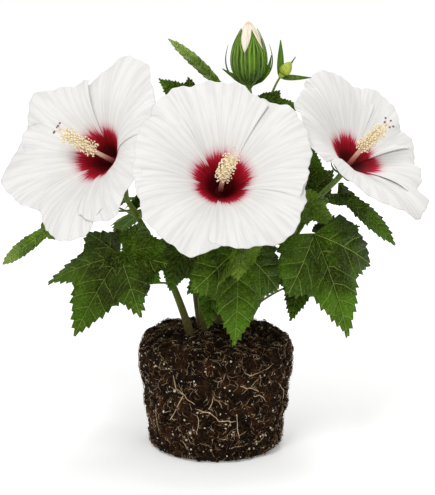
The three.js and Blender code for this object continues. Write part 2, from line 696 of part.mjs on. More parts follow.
const foliage = new THREE.Group();
for (const name of Object.keys(MASSES)) {
  const later = Object.keys(MASSES).filter((other) => other !== name && !built.has(other));
  add(name, mass(name, [...built.values(), ...later.flatMap(shownSolids)]), leafGreen, foliage);
}
plant.add(foliage);

export default plant;
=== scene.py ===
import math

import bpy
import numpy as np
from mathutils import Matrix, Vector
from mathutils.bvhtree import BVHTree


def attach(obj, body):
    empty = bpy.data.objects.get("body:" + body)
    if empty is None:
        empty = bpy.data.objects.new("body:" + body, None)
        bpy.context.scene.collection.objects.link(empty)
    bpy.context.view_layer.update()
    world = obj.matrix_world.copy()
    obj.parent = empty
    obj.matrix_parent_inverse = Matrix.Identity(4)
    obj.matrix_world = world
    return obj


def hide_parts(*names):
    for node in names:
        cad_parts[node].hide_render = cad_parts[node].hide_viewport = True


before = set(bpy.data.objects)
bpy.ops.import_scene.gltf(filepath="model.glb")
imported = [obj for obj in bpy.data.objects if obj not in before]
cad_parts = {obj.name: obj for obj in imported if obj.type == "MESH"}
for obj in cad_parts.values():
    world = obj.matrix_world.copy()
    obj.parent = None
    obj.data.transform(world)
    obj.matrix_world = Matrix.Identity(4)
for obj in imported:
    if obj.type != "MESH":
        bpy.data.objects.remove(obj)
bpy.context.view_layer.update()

# A young white hibiscus standing on its bare root ball: wide blooms with crimson eyes, a bud about to open,
# palmate toothed leaves, and a plug of peat laced with pale roots. Sizes are in millimetres and angles in
# degrees until a mesh is made, but in metres in the node trees, the view and the lamps. Turns go round from
# the front, positive to the right.

MM = 0.001
UP = np.array([0.0, 0.0, 1.0])
SECTION = np.array([0.3, 1.0, 0.1])  # no limb runs this way, so no limb's sections twist
SEPALS = 5
SPACING = 360 / SEPALS  # about the turn from one petal or sepal to the next

BALL = dict(height=133, top=87, base=75, rounding=10, dome=6, lumps=1.6, sides=400, wall=92)
RELIEF = dict(clods=70, crumbs=210, grit=620, fade=(0.0004, 0.004))
STRAND = dict(whirl=41.0, shortest=0.3, bends=95.0, ends=0.25)
SUNK = 14  # how deep each stem's foot stands in the ball

STEMS = {
    "left": dict(foot=(-25, -20), bend=(-44, -14, 196), tip=(-97, 8, 277), radii=(4.6, 2.9)),
    "centre": dict(foot=(-9, -6), bend=(-27, -12, 190), tip=(-6, -8, 250), radii=(3.8, 2.8)),
    "right": dict(foot=(22, -2), bend=(52, 4, 172), tip=(105, 14, 268), radii=(4.4, 2.9)),
    "back": dict(foot=(2, 16), bend=(14, 34, 250), tip=(38, 34, 388), radii=(4.4, 2.6)),
    "rear": dict(foot=(-16, 14), bend=(-30, 60, 190), tip=(-36, 84, 292), radii=(3.8, 2.2)),
}
BOUGH = dict(steps=110, sides=22, swell=0.22, reach=0.014)

# Leaf margins: lobes by their angle from the midrib, length as a share of the blade's, spread, and the share
# of the lobe that is a drawn-out tip; the round body between them; how far round the stalk the blade reaches;
# and how deep its teeth are beside those of other leaves.
LEAVES = {
    "lobed": dict(lobes=[(0, 1, 44, 0.26), (46, 0.8, 34, 0.26), (104, 0.5, 40, 0.2)],
                  body=0.42, round=152, teeth=1),
    "heart": dict(lobes=[(0, 1, 42, 0.26), (50, 0.66, 44, 0.06)], body=0.42, round=104, teeth=1),
    "round": dict(lobes=[(0, 1, 46, 0.16), (50, 0.86, 44, 0.1), (100, 0.7, 40, 0.06)],
                  body=0.5, round=150, teeth=1),
    "ternate": dict(lobes=[(0, 1, 42, 0.28), (48, 0.62, 38, 0.22)], body=0.44, round=142, teeth=1),
    "narrow": dict(lobes=[(0, 1, 26, 0.2)], body=0.2, round=122, teeth=1),
    "lance": dict(lobes=[(0, 1, 14, 0.3)], body=0.17, round=110, teeth=0.4),
}
LEAF = dict(blend=5, drawn=8, thick=0.6, fold=0.2, flat=0.4, cup=0.35, wave=0.03, waves=5, near=2, waist=0.25,
            start=0.003, crowd=0.9, rings=18, faces=25)
TEETH = dict(pitch=0.08, least=3, depth=0.032, lean=0.45, peak=0.7, shoulder=0.55, sunk=0.4, low=0.5,
             clear=0.14, vary=0.4, beat=2.3)
VEIN = dict(spacing=0.16, slant=0.75, curl=0.5, stray=0.5, edge=(0.0085, 0.0025), core=(0.003, 0.001))
PUCKER = dict(height=2.0, groove=1.4, width=1.8, side=14, fade=0.7)
STALK = dict(radius=1.3, tip=1.0, sides=10, steps=20, middle=0.55, arch=0.1, into=2.5, foot=(0.35, 0.08),
             head=(0.2, 0.06))

# Masses of leaves as in the solids: a leaf leaves its stem at a share of its length; its stalk and blade
# point to a turn and rise, and the blade faces a turn. The last word is its age.
MASSES = {
    "left_low": dict(stem="left", span=(0.3, 0.7), fill=(2, 195), leaves=[
        (0.6, (34, 30, 52), (-54, -67), -30, 50, "round", 14, "old"),
        (0.45, (-62, 5, 40), (-57, -36), -11, 30, "ternate", 20, "grown"),
    ]),
    "left_high": dict(stem="left", span=(0.7, 1), fill=(2, 235), leaves=[
        (0.8, (-23, -9, 68), (-42, -47), -22, 104, "lobed", 24, "old"),
        (0.74, (-23, 3, 69), (71, -37), -12, 52, "round", 20, "old"),
        (0.95, (-95, -12, 92), (-118, -36), 5, 92, "lance", 24, "young"),
    ]),
    "front": dict(stem="centre", span=(0.42, 1), fill=(1, 170), leaves=[
        (0.85, (24, 12, 88), (-14, -80), 34, 107, "heart", 16, "grown"),
        (0.95, (22, 5, 96), (-82, -50), -52, 67, "ternate", 20, "young"),
        (0.6, (20, 18, 52), (-18, -67), -19, 65, "ternate", 14, "old"),
    ]),
    "right_low": dict(stem="right", span=(0.3, 0.68), fill=(2, 160), leaves=[
        (0.5, (57, 30, 56), (-40, -66), -10, 62, "ternate", 12, "old"),
        (0.62, (97, 34, 65), (90, 17), 20, 42, "ternate", 20, "grown"),
    ]),
    "right_high": dict(stem="right", span=(0.68, 1), fill=(2, 150), leaves=[
        (0.74, (28, 29, 69), (61, -70), 34, 120, "heart", 22, "grown"),
        (0.9, (74, 44, 58), (68, -37), 42, 86, "narrow", 22, "grown"),
        (0.96, (160, 50, 32), (-170, 81), 4, 55, "ternate", -10, "old"),
        (0.93, (75, 46, 37), (68, -8), 30, 27, "narrow", 10, "old"),
        (0.84, (30, 63, 47), (64, -32), 10, 43, "ternate", 12, "young"),
    ]),
    "back": dict(stem="back", span=(0.16, 0.5), fill=(3, 148), leaves=[]),
    "top": dict(stem="back", span=(0.5, 1), fill=(3, 170), leaves=[
        (0.95, (-107, 39, 27), (-119, 37), 30, 101, "lance", 16, "young"),
        (0.8, (-101, 41, 76), (-84, 38), -10, 47, "ternate", 12, "grown"),
        (0.78, (58, 62, 60), (74, 6), 0, 45, "ternate", 12, "old"),
    ]),
    "rear": dict(stem="rear", span=(0.3, 1), fill=(4, 190), leaves=[]),
}
FILL = dict(seed=7, golden=137.5, fan=150, tries=3, rise=(16, 34), stalk=(34, 58), drop=(-56, -22),
            length=(62, 96), bow=(18, 40), along=(0.12, 0.92), swing=(-12, 12), lobed=0.6)

# Blooms: the bottom of the throat, the way it faces and rises, the radius, the funnel's depth and flare, the
# column's lean to the right and up, and for each petal its turn, half of its spread and its rim's radii from
# its right side round to its left.
BLOOMS = {
    "left": dict(stem="left", stigma="ripe_stigma", throat=(-113, 24, 321), faces=-43, rise=26,
                 radius=105, depth=62, flare=46, lean=(-25.5, 10), petals=[
                     (68, 52, (95, 113, 114, 88, 72)), (158, 50, (80, 85, 108, 93, 76)),
                     (210, 48, (80, 98, 115.5, 97, 78)), (285, 50, (76, 96, 109, 92, 80)),
                     (345, 55, (80, 108, 100, 100, 95))]),
    "centre": dict(stem="centre", stigma="fresh_stigma", throat=(5, -60, 304), faces=4, rise=40,
                   radius=98, depth=60, flare=46, lean=(9.5, 5), petals=[
                       (105, 50, (90, 100, 105, 103, 90)), (172, 48, (88, 98, 93.5, 95.5, 90)),
                       (228, 46, (85, 98.5, 106.5, 108, 82)), (305, 48, (88, 99, 104.5, 95, 86)),
                       (22, 48, (86, 90, 99, 101, 92))]),
    "right": dict(stem="right", stigma="ripe_stigma", throat=(146, 8, 319), faces=51, rise=51,
                  radius=96, depth=45, flare=80, lean=(1.5, -5.5), petals=[
                      (30, 46, (70, 78, 108, 95, 80)), (82, 48, (85, 98.5, 105, 91, 86)),
                      (140, 48, (85, 90, 88, 87, 85)), (240, 50, (88, 94, 119, 107, 76)),
                      (320, 52, (74, 75.5, 71.5, 80, 82))]),
}
PETAL = dict(throat=6, lap=2.6, ruffle=3, waves=2.3, calm=0.7, recurve=5, thick=0.7, columns=84, rows=52,
             shift=2.4)
# Ripples of a petal: height, waves across, how far the petal's own phase shifts them, and waves along.
RIPPLES = {
    "scallops": ((0.011, 17, 1, 0), (0.006, 41, 2, 0)),
    "folds": ((1.9, 6.1, 1.3, 1.5), (1.3, 9.7, -0.8, -2.3)),
    "pleats": ((0.45, 19, 1.7, 2),),
    "pleated": ((0.5, 5, 1, 0),),
    "creases": ((0.15, 43, 0.6, -3),),
    "frill": ((2.2, 11, 1.3, 0),),
    "frilled": ((0.4, 4, 2.1, 0),),
}
PLUG = dict(radius=7.5, above=1.5, below=3)
# The crimson eye: how far out it ends, how much of that is lost at a petal's sides, its streaks and its halo.
EYE = dict(edge=0.3, notch=0.26, streak=0.1, halo=0.09)
COLUMN = dict(length=68, radius=3, tip=1.4, begin=0.38, end=0.93, anthers=220, reach=8.6, anther=0.95,
              bend=0.55, steps=40, sides=20)
STYLES = dict(count=5, spread=6.5, length=8, head=1.25, begin=0.97, knee=0.7, radius=0.45, knob=(-1.3, 1.5))
CALYX = dict(below=8, reach=30, half=34, receptacle=6.5, foot=3.4, depth=14, thick=0.9, droop=2.5, crest=0.5)
BRACTS = dict(count=8, radius=1.3, below=11.5, spread=15, out=25, up=14, swing=0)
# Buds: the foot's place, the way they point and rise, and their size; the number and height of the slim
# bracts round them; and leafy bracts from where they begin, each by its turn, and how far out and up it
# bends and ends.
BUDS = {
    "large": dict(stem="back", at=1, foot=(37, 34, 410), turn=-90, rise=89, length=66, radius=19.5, ring=6,
                  bracts=46, begin=(5, -1.5), leafy=((80, (22, 2), (25, 29)), (275, (17, 5), (30, 15)))),
    "small": dict(stem="back", at=0.93, foot=(73, 28, 418), turn=90, rise=55, length=17, radius=7, ring=0,
                  bracts=0, begin=(1, -2.8),
                  leafy=((90, (12, 14), (23.5, 30.5)), (350, (9, 8), (12, 24)), (270, (14, 5), (28.5, 16)))),
    "side": dict(stem="left", at=0.9, foot=(-76, -8, 276), turn=40, rise=76, length=18, radius=4.4, ring=6,
                 bracts=20, begin=(0, 0), leafy=()),
}
SEPAL = dict(thick=0.9, half=35, clear=1.2, closed=0.88, turn=20, open=0.6, rib=0.35, foot=3, below=0.9)
LEAFY = dict(width=0.1, base=0.12, end=0.97, swell=0.7, roll=65, crease=0.3, thick=0.6)
CUP = dict(depth=8, foot=2.6, receptacle=6.5, rim=0.6, below=5, stalk=2.1, small_foot=2, small=0.55)
# Slim bracts round a bud: their spread and how far out they end are shares of its radius.
HUG = dict(radius=1.15, spread=1.8, out=1.16, swing=0.25)
EGG = dict(broad=0.72, blunt=0.62, taper=0.1)
ROLLS = dict(petals=5, twist=1.4, step=0.09, round=0.05)
FLOWER_STALK = dict(knee=0.4, steps=24)
ANTHERS = dict(lean=0.25, reach=(0.35, 1.1), rod=(0.00018, 0.0003), bean=(1.5, 1.0, 0.8))
MARGIN = 0.03  # the share of a cell on a page for baking that is kept clear at each edge
GAP = 0.3  # kept clear between pieces that meet

# Roots that stand out on the ball: each goes from place to place by turn from the front and height.
ROOTS = {
    "fork": (0.7, [(-25, 80), (-31, 65), (-40, 46)]),
    "fork_up": (0.6, [(-34, 100), (-31, 87), (-24, 80), (-16, 71)]),
    "long": (0.75, [(-16, 66), (-6, 62), (2, 53), (8, 51), (16, 51)]),
    "long_up": (0.6, [(-12, 61), (-5, 67), (-2, 79)]),
    "short_v": (0.5, [(-2, 80), (3, 72), (5, 67)]),
    "left_v": (0.5, [(-14, 59), (-14, 46), (-16, 34)]),
    "right_v": (0.65, [(16, 59), (17, 46), (19, 26)]),
    "curve_right": (0.6, [(20, 108), (26, 104), (37, 106), (46, 112)]),
    "right_y": (0.7, [(18, 92), (25, 89), (34, 82)]),
    "right_y_branch": (0.5, [(27, 90), (31, 95), (37, 99)]),
    "right_s": (0.55, [(29, 79), (36, 76), (43, 68)]),
    "low_left": (0.5, [(-30, 26), (-26, 21), (-23, 15)]),
    "low_right": (0.55, [(13, 18), (21, 20), (27, 22)]),
    "low_right_branch": (0.5, [(31, 20), (39, 22), (45, 30)]),
    "left_long": (0.6, [(-56, 59), (-55, 44), (-54, 24)]),
    "right_edge": (0.6, [(55, 85), (67, 71), (65, 58)]),
}
ROOT = dict(steps=12, sides=8, lift=0.4, sway=((0.6, 4.1, 1), (0.3, 9.3, 2)))
GOLDEN = math.radians(FILL["golden"])
# The socket for each type of size that a tree of geometry nodes takes.
KINDS = {float: "NodeSocketFloat", int: "NodeSocketInt", tuple: "NodeSocketVector"}

VIEW = dict(place=(0.0017, -1.8, 0.66), aim=(0.0017, 0, 0.228), lens=120.5, sensor=36)
LAMPS = {
    "key": dict(place=(-0.4, -1.2, 1.8), size=0.6, power=16),
    "back": dict(place=(0.3, 1.0, 1.7), size=0.7, power=12),
}
LIT = (0, 0, 0.22)  # where the lamps point
WORLD = 0.55  # how strong the white light from all sides is
FINISH = {}  # each finish by its name, kept when it is made
# The floor glows, though it is no lamp, and glows less near the plant: painted shade round the plant, so that
# its shadow shows.
FLOOR = dict(side=40000, below=0.2, shade=0.98, glow=0.46, near=0.45, fade=(0.35, 1.6))

# Sockets, trees and the maths between them


class Value:
    """A socket of a node tree on which Python's arithmetic adds Math nodes."""

    def __init__(self, tree, socket):
        self.tree = tree
        self.socket = socket

    def __add__(self, other):
        return self.tree.maths("ADD", self, other)

    def __mul__(self, other):
        return self.tree.maths("MULTIPLY", self, other)

    def __sub__(self, other):
        return self.tree.maths("SUBTRACT", self, other)

    def __rsub__(self, other):
        return self.tree.maths("SUBTRACT", other, self)

    def __truediv__(self, other):
        return self.tree.maths("DIVIDE", self, other)

    def __pow__(self, other):
        return self.tree.maths("POWER", self, other)

    def __abs__(self):
        return self.tree.maths("ABSOLUTE", self)

    __radd__ = __add__
    __rmul__ = __mul__


class Tree:
    """A node tree, with one way to add a node of any kind to it."""

    def __init__(self, made):
        self.made = made

    def node(self, kind, settings=None, sockets=None):
        made = self.made.nodes.new(kind)
        for name, setting in (settings or {}).items():
            if name == "stops":
                set_stops(made.color_ramp, setting)
            else:
                setattr(made, name, setting)
        for name, value in (sockets or {}).items():
            self.feed(find(made.inputs, name), value)
        return lambda name=0: Value(self, find(made.outputs, name))

    def feed(self, socket, value):
        """Links a value to a socket, or sets the socket to a number, a row of them or a colour's digits."""
        if isinstance(value, Value):
            self.made.links.new(value.socket, socket)
        else:
            socket.default_value = tint(value) if isinstance(value, str) else value

    def maths(self, operation, *terms):
        return self.node("ShaderNodeMath", {"operation": operation}, dict(enumerate(terms)))()

    def vector(self, operation, sockets):
        return self.node("ShaderNodeVectorMath", {"operation": operation}, sockets)

    def between(self, value, low, high):
        """0 below low, 1 above high, with a smooth step from one to the other."""
        settings = {"interpolation_type": "SMOOTHSTEP"}
        limits = {"Value": value, "From Min": low, "From Max": high}
        return self.node("ShaderNodeMapRange", settings, limits)("Result")

    def mixed(self, first, second, share):
        """A colour between two, by a share from 0 to 1."""
        sockets = {"Factor": share, "A": first, "B": second}
        return self.node("ShaderNodeMix", {"data_type": "RGBA"}, sockets)("Result")

    def noise(self, place, scale, detail=2.0, rough=0.5):
        sockets = {"Vector": place, "Scale": scale, "Detail": detail, "Roughness": rough}
        return self.node("ShaderNodeTexNoise", None, sockets)(0)

    def laid(self, colour, over, value, low, high, share=1.0):
        """A colour with another laid over it where a value passes from low to high."""
        return self.mixed(colour, over, self.between(value, low, high) * share)

    def ramp(self, stops, value):
        return self.node("ShaderNodeValToRGB", {"stops": stops}, {"Fac": value})("Color")

    def scaled(self, place, size):
        return self.vector("SCALE", {0: place, "Scale": size})()

    def added(self, first, second):
        return self.vector("ADD", {0: first, 1: second})()

    def combined(self, x, y, z=0.0):
        return self.node("ShaderNodeCombineXYZ", None, {"X": x, "Y": y, "Z": z})()

    def parted(self, place):
        return self.node("ShaderNodeSeparateXYZ", None, {"Vector": place})

    def grown(self, kind, settings=None, **sockets):
        """A geometry node, whose sockets are named here with underscores for spaces."""
        named = {name.replace("_", " "): value for name, value in sockets.items()}
        return self.node("GeometryNode" + kind, settings, named)

    def chance(self, low, high, seed):
        return self.node("FunctionNodeRandomValue", None, {"Min": low, "Max": high, "Seed": seed})("Value")

    def spun(self, axis, angle):
        return self.node("FunctionNodeAxisAngleToRotation", None, {"Axis": axis, "Angle": angle})()

    def instances(self, points, shape, rotation, size=(1.0, 1.0, 1.0)):
        return self.grown("InstanceOnPoints", Points=points, Instance=shape, Rotation=rotation, Scale=size)()

    def strewn(self, given, shape, spin, size):
        """Copies of a shape strewn over a surface, each laid on it and then turned by its own spin."""
        skin, density, seed = given("Geometry"), given("Density"), given("Seed")
        spots = self.grown("DistributePointsOnFaces", Mesh=skin, Density=density, Seed=seed)
        turns = {"Rotation": spots("Rotation"), "Rotate By": spin}
        turn = self.node("FunctionNodeRotateRotation", {"rotation_space": "LOCAL"}, turns)()
        return self.instances(spots("Points"), shape, turn, size)

    def tapered(self, curve, sides, radius, share):
        """A closed tube along a curve, narrowed at each place to a share of its radius."""
        ring = self.grown("CurvePrimitiveCircle", Resolution=sides, Radius=radius)()
        return self.grown("CurveToMesh", Curve=curve, Profile_Curve=ring, Scale=share, Fill_Caps=True)()


class Finish(Tree):
    """The node tree of a new material, with the shader that it ends in."""

    def __init__(self, name, rough=0.5, **steady):
        self.name = name
        self.material = bpy.data.materials.new(name)
        self.material.use_nodes = True
        super().__init__(self.material.node_tree)
        self.shader = next(n for n in self.made.nodes if n.type == "BSDF_PRINCIPLED").inputs
        self.place = self.node("ShaderNodeTexCoord")("Object")
        for socket, value in {"Roughness": rough, **steady}.items():
            self.shader[socket.replace("_", " ")].default_value = value

    def own_map(self, name):
        """The two numbers of one of the piece's own maps."""
        parts = self.parted(self.node("ShaderNodeUVMap", {"uv_map": name})())
        return parts("X"), parts("Y")

    def spots(self, scale, detail=2, rough=0.5):
        return self.noise(self.place, scale, detail, rough)

    def grain(self, scales, detail=2, rough=0.5):
        """A noise with a scale of its own along each axis."""
        return self.noise(self.vector("MULTIPLY", {0: self.place, 1: scales})(), 1, detail, rough)

    def patchy(self, scale, colours):
        """A colour that drifts between several as a noise rises."""
        stops = [(0.3 + 0.4 * i / (len(colours) - 1), colour) for i, colour in enumerate(colours)]
        return self.ramp(stops, self.spots(scale, 3))

    def done(self, colour, height=None, depth=0.4, strength=0.6, **fed):
        """Feeds the shader its colour, its bump and what else is named, and keeps the finish by its name."""
        if height is not None:
            bump = {"Strength": strength, "Distance": depth * MM, "Height": height}
            fed["Normal"] = self.node("ShaderNodeBump", None, bump)()
        for socket, value in {"Base Color": colour, **fed}.items():
            self.feed(self.shader[socket.replace("_", " ")], value)
        FINISH[self.name] = self.material


def find(sockets, name):
    if isinstance(name, int):
        return sockets[name]
    return next(s for s in sockets if s.enabled and s.name == name)


def set_stops(ramp, stops):
    while len(ramp.elements) < len(stops):
        ramp.elements.new(0.5)
    for element, (position, colour) in zip(ramp.elements, stops):
        element.position = position
        element.color = tint(colour)


def tint(code):
    """A colour from its six hexadecimal digits, as linear light."""
    parts = [int(code[i : i + 2], 16) / 255 for i in (0, 2, 4)]
    return (*[p / 12.92 if p < 0.04045 else ((p + 0.055) / 1.055) ** 2.4 for p in parts], 1.0)


# Directions, curves and frames


def heading(turn, rise):
    a, e = math.radians(turn), math.radians(rise)
    return np.array([math.sin(a) * math.cos(e), -math.cos(a) * math.cos(e), math.sin(e)])


def unit(v):
    return v / np.maximum(np.linalg.norm(v, axis=-1, keepdims=True), 1e-9)


def lerp(a, b, t):
    return a + (b - a) * t


def shares(count):
    return np.linspace(0, 1, count)


def net(rows, columns):
    """Places across from -1 to 1 in a row, and places along from 0 to 1 in a column."""
    return np.linspace(-1, 1, columns)[None, :], shares(rows)[:, None]


def curve_points(controls, places):
    """Points at shares of the parameter on the Bézier curve with these control points."""
    order = len(controls) - 1
    t = np.atleast_1d(np.asarray(places, float))[:, None]
    terms = [math.comb(order, i) * t**i * (1 - t) ** (order - i) * np.asarray(c, float)
             for i, c in enumerate(controls)]
    return sum(terms)


def curve_tangent(controls, share):
    ends = curve_points(controls, [max(share - 1e-3, 0), min(share + 1e-3, 1)])
    return unit(ends[1] - ends[0])


def square_to(along):
    """Two directions square to each of these and to each other."""
    side = unit(np.cross(along, SECTION))
    return side, np.cross(along, side)


def flower_frame(place, turn, rise):
    """The matrix of a flower's own frame: +Z out along its axis, +X to its right as seen, +Y up its face."""
    axis = heading(turn, rise)
    right = unit(np.cross(UP, axis))
    matrix = np.eye(4)
    matrix[:3, 0] = right
    matrix[:3, 1] = np.cross(axis, right)
    matrix[:3, 2] = axis
    matrix[:3, 3] = place
    return matrix


def smooth_row(values, places):
    """Values on a smooth curve through a row of known ones, at places that count from the first."""
    known = np.asarray(values, float)
    last = len(known) - 1
    here = np.clip(np.floor(places).astype(int), 0, last - 1)
    t = places - here
    before, low, high, after = (known[np.clip(here + step, 0, last)] for step in (-1, 0, 1, 2))
    start, end = (high - before) / 2, (after - low) / 2
    square = 3 * (high - low) - 2 * start - end
    cube = 2 * (low - high) + start + end
    return low + start * t + square * t**2 + cube * t**3


def moved(points, matrix):
    return points @ matrix[:3, :3].T + matrix[:3, 3]


def polar(radius, angle, height):
    return np.stack(np.broadcast_arrays(radius * np.cos(angle), radius * np.sin(angle), height), axis=-1)


# Shapes as arrays: points, faces and maps


def grid_faces(rows, columns, wrapped=False):
    """The four-sided faces between rows and columns of points, with the columns' loop closed if wrapped."""
    row = np.arange(rows - 1)[:, None] * columns
    here = np.arange(columns if wrapped else columns - 1)
    there = (here + 1) % columns
    faces = np.stack([row + here, row + there, row + columns + there, row + columns + here], axis=-1)
    return faces.reshape(-1, 4)


def sheet_normals(sheet):
    return unit(np.cross(np.gradient(sheet, axis=0), np.gradient(sheet, axis=1)))


def shell(sheet, thick):
    """A closed thin skin on both sides of a grid of points: its points, and the faces of each side."""
    rows, columns = sheet.shape[:2]
    half = sheet_normals(sheet) * (np.broadcast_to(thick, (rows, columns))[..., None] / 2)
    points = np.concatenate([(sheet + half).reshape(-1, 3), (sheet - half).reshape(-1, 3)])
    back = grid_faces(rows, columns) + rows * columns
    index = np.arange(rows * columns).reshape(rows, columns)
    loop = np.concatenate([index[0, :-1], index[:-1, -1], index[-1, :0:-1], index[:0:-1, 0]])
    after = np.roll(loop, -1)
    rim = np.stack([loop, after, after + index.size, loop + index.size], axis=-1)
    return points, {"front": back[:, ::-1] - index.size, "back": back, "rim": rim}


def rounds(radii, sides, ridges):
    """The angles round a row of rings, and the rings' radii with any ridges."""
    angle = np.linspace(0, 2 * math.pi, sides, endpoint=False)[None, :]
    radius = np.broadcast_to(np.asarray(radii, float)[:, None], (len(radii), sides))
    return angle, radius if ridges is None else radius * ridges(angle, shares(len(radii))[:, None])


def closed(rings, ends):
    """Rings closed by a fan at each end: points, faces and, for each point, its share and its turn."""
    rows, sides = rings.shape[:2]
    turn = np.arange(sides)
    after = (turn + 1) % sides
    count = rows * sides
    last = count - sides
    foot = np.stack([after, turn, np.full(sides, count)], axis=-1)
    head = np.stack([turn + last, after + last, np.full(sides, count + 1)], axis=-1)
    maps = np.stack([np.repeat(shares(rows), sides), np.tile(turn / sides, rows)], axis=-1)
    maps = np.concatenate([maps, [[0, 0], [1, 0]]])
    points = np.concatenate([rings.reshape(-1, 3), ends])
    return points, [grid_faces(rows, sides, wrapped=True), foot, head], maps


def tube(path, radii, sides, ridges=None):
    """A closed round limb along a row of points."""
    path = np.asarray(path, float)
    along = unit(np.gradient(path, axis=0))
    side, other = square_to(along)
    angle, radius = rounds(radii, sides, ridges)
    ring = side[:, None] * np.cos(angle)[..., None] + other[:, None] * np.sin(angle)[..., None]
    return closed(path[:, None] + ring * radius[..., None], path[[0, -1]])


def lathe(profile, sides, ridges=None):
    """A closed turned shape from its profile of distance and height, whose ends lie on the axis."""
    profile = np.asarray(profile, float)
    angle, radius = rounds(profile[1:-1, 0], sides, ridges)
    ends = [(0, 0, profile[0, 1]), (0, 0, profile[-1, 1])]
    points, blocks, maps = closed(polar(radius, angle, profile[1:-1, 1:]), ends)
    return points, blocks, maps[:, ::-1]


class Heap:
    """Gathers shapes that become one piece, in blocks of faces that each have a finish and maps."""

    def __init__(self, *maps, matrix=np.eye(4)):
        self.maps = {name: [] for name in maps}
        self.points, self.faces, self.worn = [], [], []
        self.count = 0
        self.matrix = matrix

    def wear(self, faces, finish, maps):
        """Adds faces of the points that come next, with each map's place for every corner."""
        self.faces.append(faces + self.count)
        self.worn.append(np.full(len(faces), finish))
        for name, rows in self.maps.items():
            rows.append(maps[name].reshape(-1, 2) if name in maps else np.zeros((faces.size, 2)))

    def place(self, points):
        """Places the points of the faces just added by the heap's own matrix."""
        self.points.append(moved(points, self.matrix))
        self.count += len(points)

    def add(self, shape, finish=0, name=None, by=1.0, plus=0.0):
        """Adds a shape in one finish, with its own places, scaled and shifted, as the named map."""
        points, blocks, places = shape
        for faces in blocks:
            self.wear(faces, finish, {name: (places * by + plus)[faces]} if name else {})
        self.place(points)

    def add_skin(self, sheet, thick, finishes, **maps):
        """Adds a thin skin with a finish for each side. A map is places, or a rule on faces and side."""
        points, sides = shell(sheet, thick)
        flat = len(points) // 2
        for side, faces in sides.items():
            laid = {name: at[faces % flat] if isinstance(at, np.ndarray) else at(faces % flat, side)
                    for name, at in maps.items()}
            self.wear(faces, finishes[side == "back"], laid)
        self.place(points)

    def add_ribbed(self, sheet, thick, finish=0):
        """Adds a thin skin whose ribs run along its columns."""
        u, v = net(*sheet.shape[:2])
        ribs = np.stack(np.broadcast_arrays((u + 1) / 2, v), axis=-1).reshape(-1, 2)
        self.add_skin(sheet, thick, (finish, finish), ribs=ribs)

    def add_mesh(self, mesh, finish=0):
        """Adds a mesh made elsewhere, in metres."""
        points = np.empty(len(mesh.vertices) * 3)
        mesh.vertices.foreach_get("co", points)
        sizes = np.empty(len(mesh.polygons), int)
        mesh.polygons.foreach_get("loop_total", sizes)
        corners = np.empty(len(mesh.loops), int)
        mesh.loops.foreach_get("vertex_index", corners)
        starts = np.concatenate([[0], np.cumsum(sizes)[:-1]])
        blocks = [corners[starts[sizes == n][:, None] + np.arange(n)] for n in np.unique(sizes)]
        self.add((points.reshape(-1, 3) / MM, blocks, None), finish)

    def mesh(self, name):
        made = bpy.data.meshes.new(name)
        points = np.concatenate(self.points) * MM
        corners = np.concatenate([block.ravel() for block in self.faces])
        sizes = np.concatenate([np.full(len(block), block.shape[1]) for block in self.faces])
        made.vertices.add(len(points))
        made.vertices.foreach_set("co", points.ravel())
        made.loops.add(len(corners))
        made.loops.foreach_set("vertex_index", corners)
        made.polygons.add(len(sizes))
        made.polygons.foreach_set("loop_start", np.concatenate([[0], np.cumsum(sizes)[:-1]]))
        made.polygons.foreach_set("material_index", np.concatenate(self.worn))
        made.polygons.foreach_set("use_smooth", np.full(len(sizes), True))
        made.update(calc_edges=True)
        for map_name, rows in self.maps.items():
            layer = made.uv_layers.new(name=map_name)
            layer.uv.foreach_set("vector", np.concatenate(rows).ravel())
        return made

    def piece(self, name, finishes, slot, *nodes):
        piece_of(self.mesh(name), name, finishes, slot, *nodes)


def piece_of(mesh, name, finishes, slot, *nodes):
    """Puts a finished mesh into the scene as a piece that stands for some of the frame's nodes."""
    for finish in finishes:
        mesh.materials.append(FINISH[finish])
    piece = bpy.data.objects.new(name, mesh)
    bpy.context.collection.objects.link(piece)
    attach(piece, "root")
    if nodes:
        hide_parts(*nodes)


# Trees of geometry nodes


def grown_tree(name, sizes, build):
    """A tree of geometry nodes with named inputs for its sizes, ending in real shapes and a material."""
    made = bpy.data.node_groups.new(name, "GeometryNodeTree")
    made.interface.new_socket("Geometry", in_out="INPUT", socket_type="NodeSocketGeometry")
    made.interface.new_socket("Geometry", in_out="OUTPUT", socket_type="NodeSocketGeometry")
    for size, value in sizes.items():
        socket = made.interface.new_socket(size, in_out="INPUT", socket_type=KINDS[type(value)])
        socket.default_value = value
    made.interface.new_socket("Finish", in_out="INPUT", socket_type="NodeSocketMaterial")
    tree = Tree(made)
    inputs = tree.node("NodeGroupInput")
    shape = build(tree, inputs)
    realized = tree.grown("RealizeInstances", Geometry=shape)()
    smooth = tree.grown("SetShadeSmooth", Geometry=realized)()
    worn = tree.grown("SetMaterial", Geometry=smooth, Material=inputs("Finish"))()
    tree.node("NodeGroupOutput", None, {"Geometry": worn})
    return made


def grow(made, base, finish, **sizes):
    """Runs a tree on a mesh, with its inputs set by their names, and gives back the plain mesh it makes."""
    holder = bpy.data.objects.new("holder", base)
    bpy.context.collection.objects.link(holder)
    modifier = holder.modifiers.new("grown", "NODES")
    modifier.node_group = made
    given = {name.replace("_", " "): value for name, value in sizes.items()}
    given["finish"] = FINISH[finish]
    for item in made.interface.items_tree:
        key = item.name.lower()
        if item.in_out == "INPUT" and key in given:
            modifier[item.identifier] = given[key]
    graph = bpy.context.evaluated_depsgraph_get()
    mesh = bpy.data.meshes.new_from_object(holder.evaluated_get(graph), depsgraph=graph)
    holder.modifiers.remove(modifier)
    bpy.data.objects.remove(holder)
    return mesh


# Colours and finishes


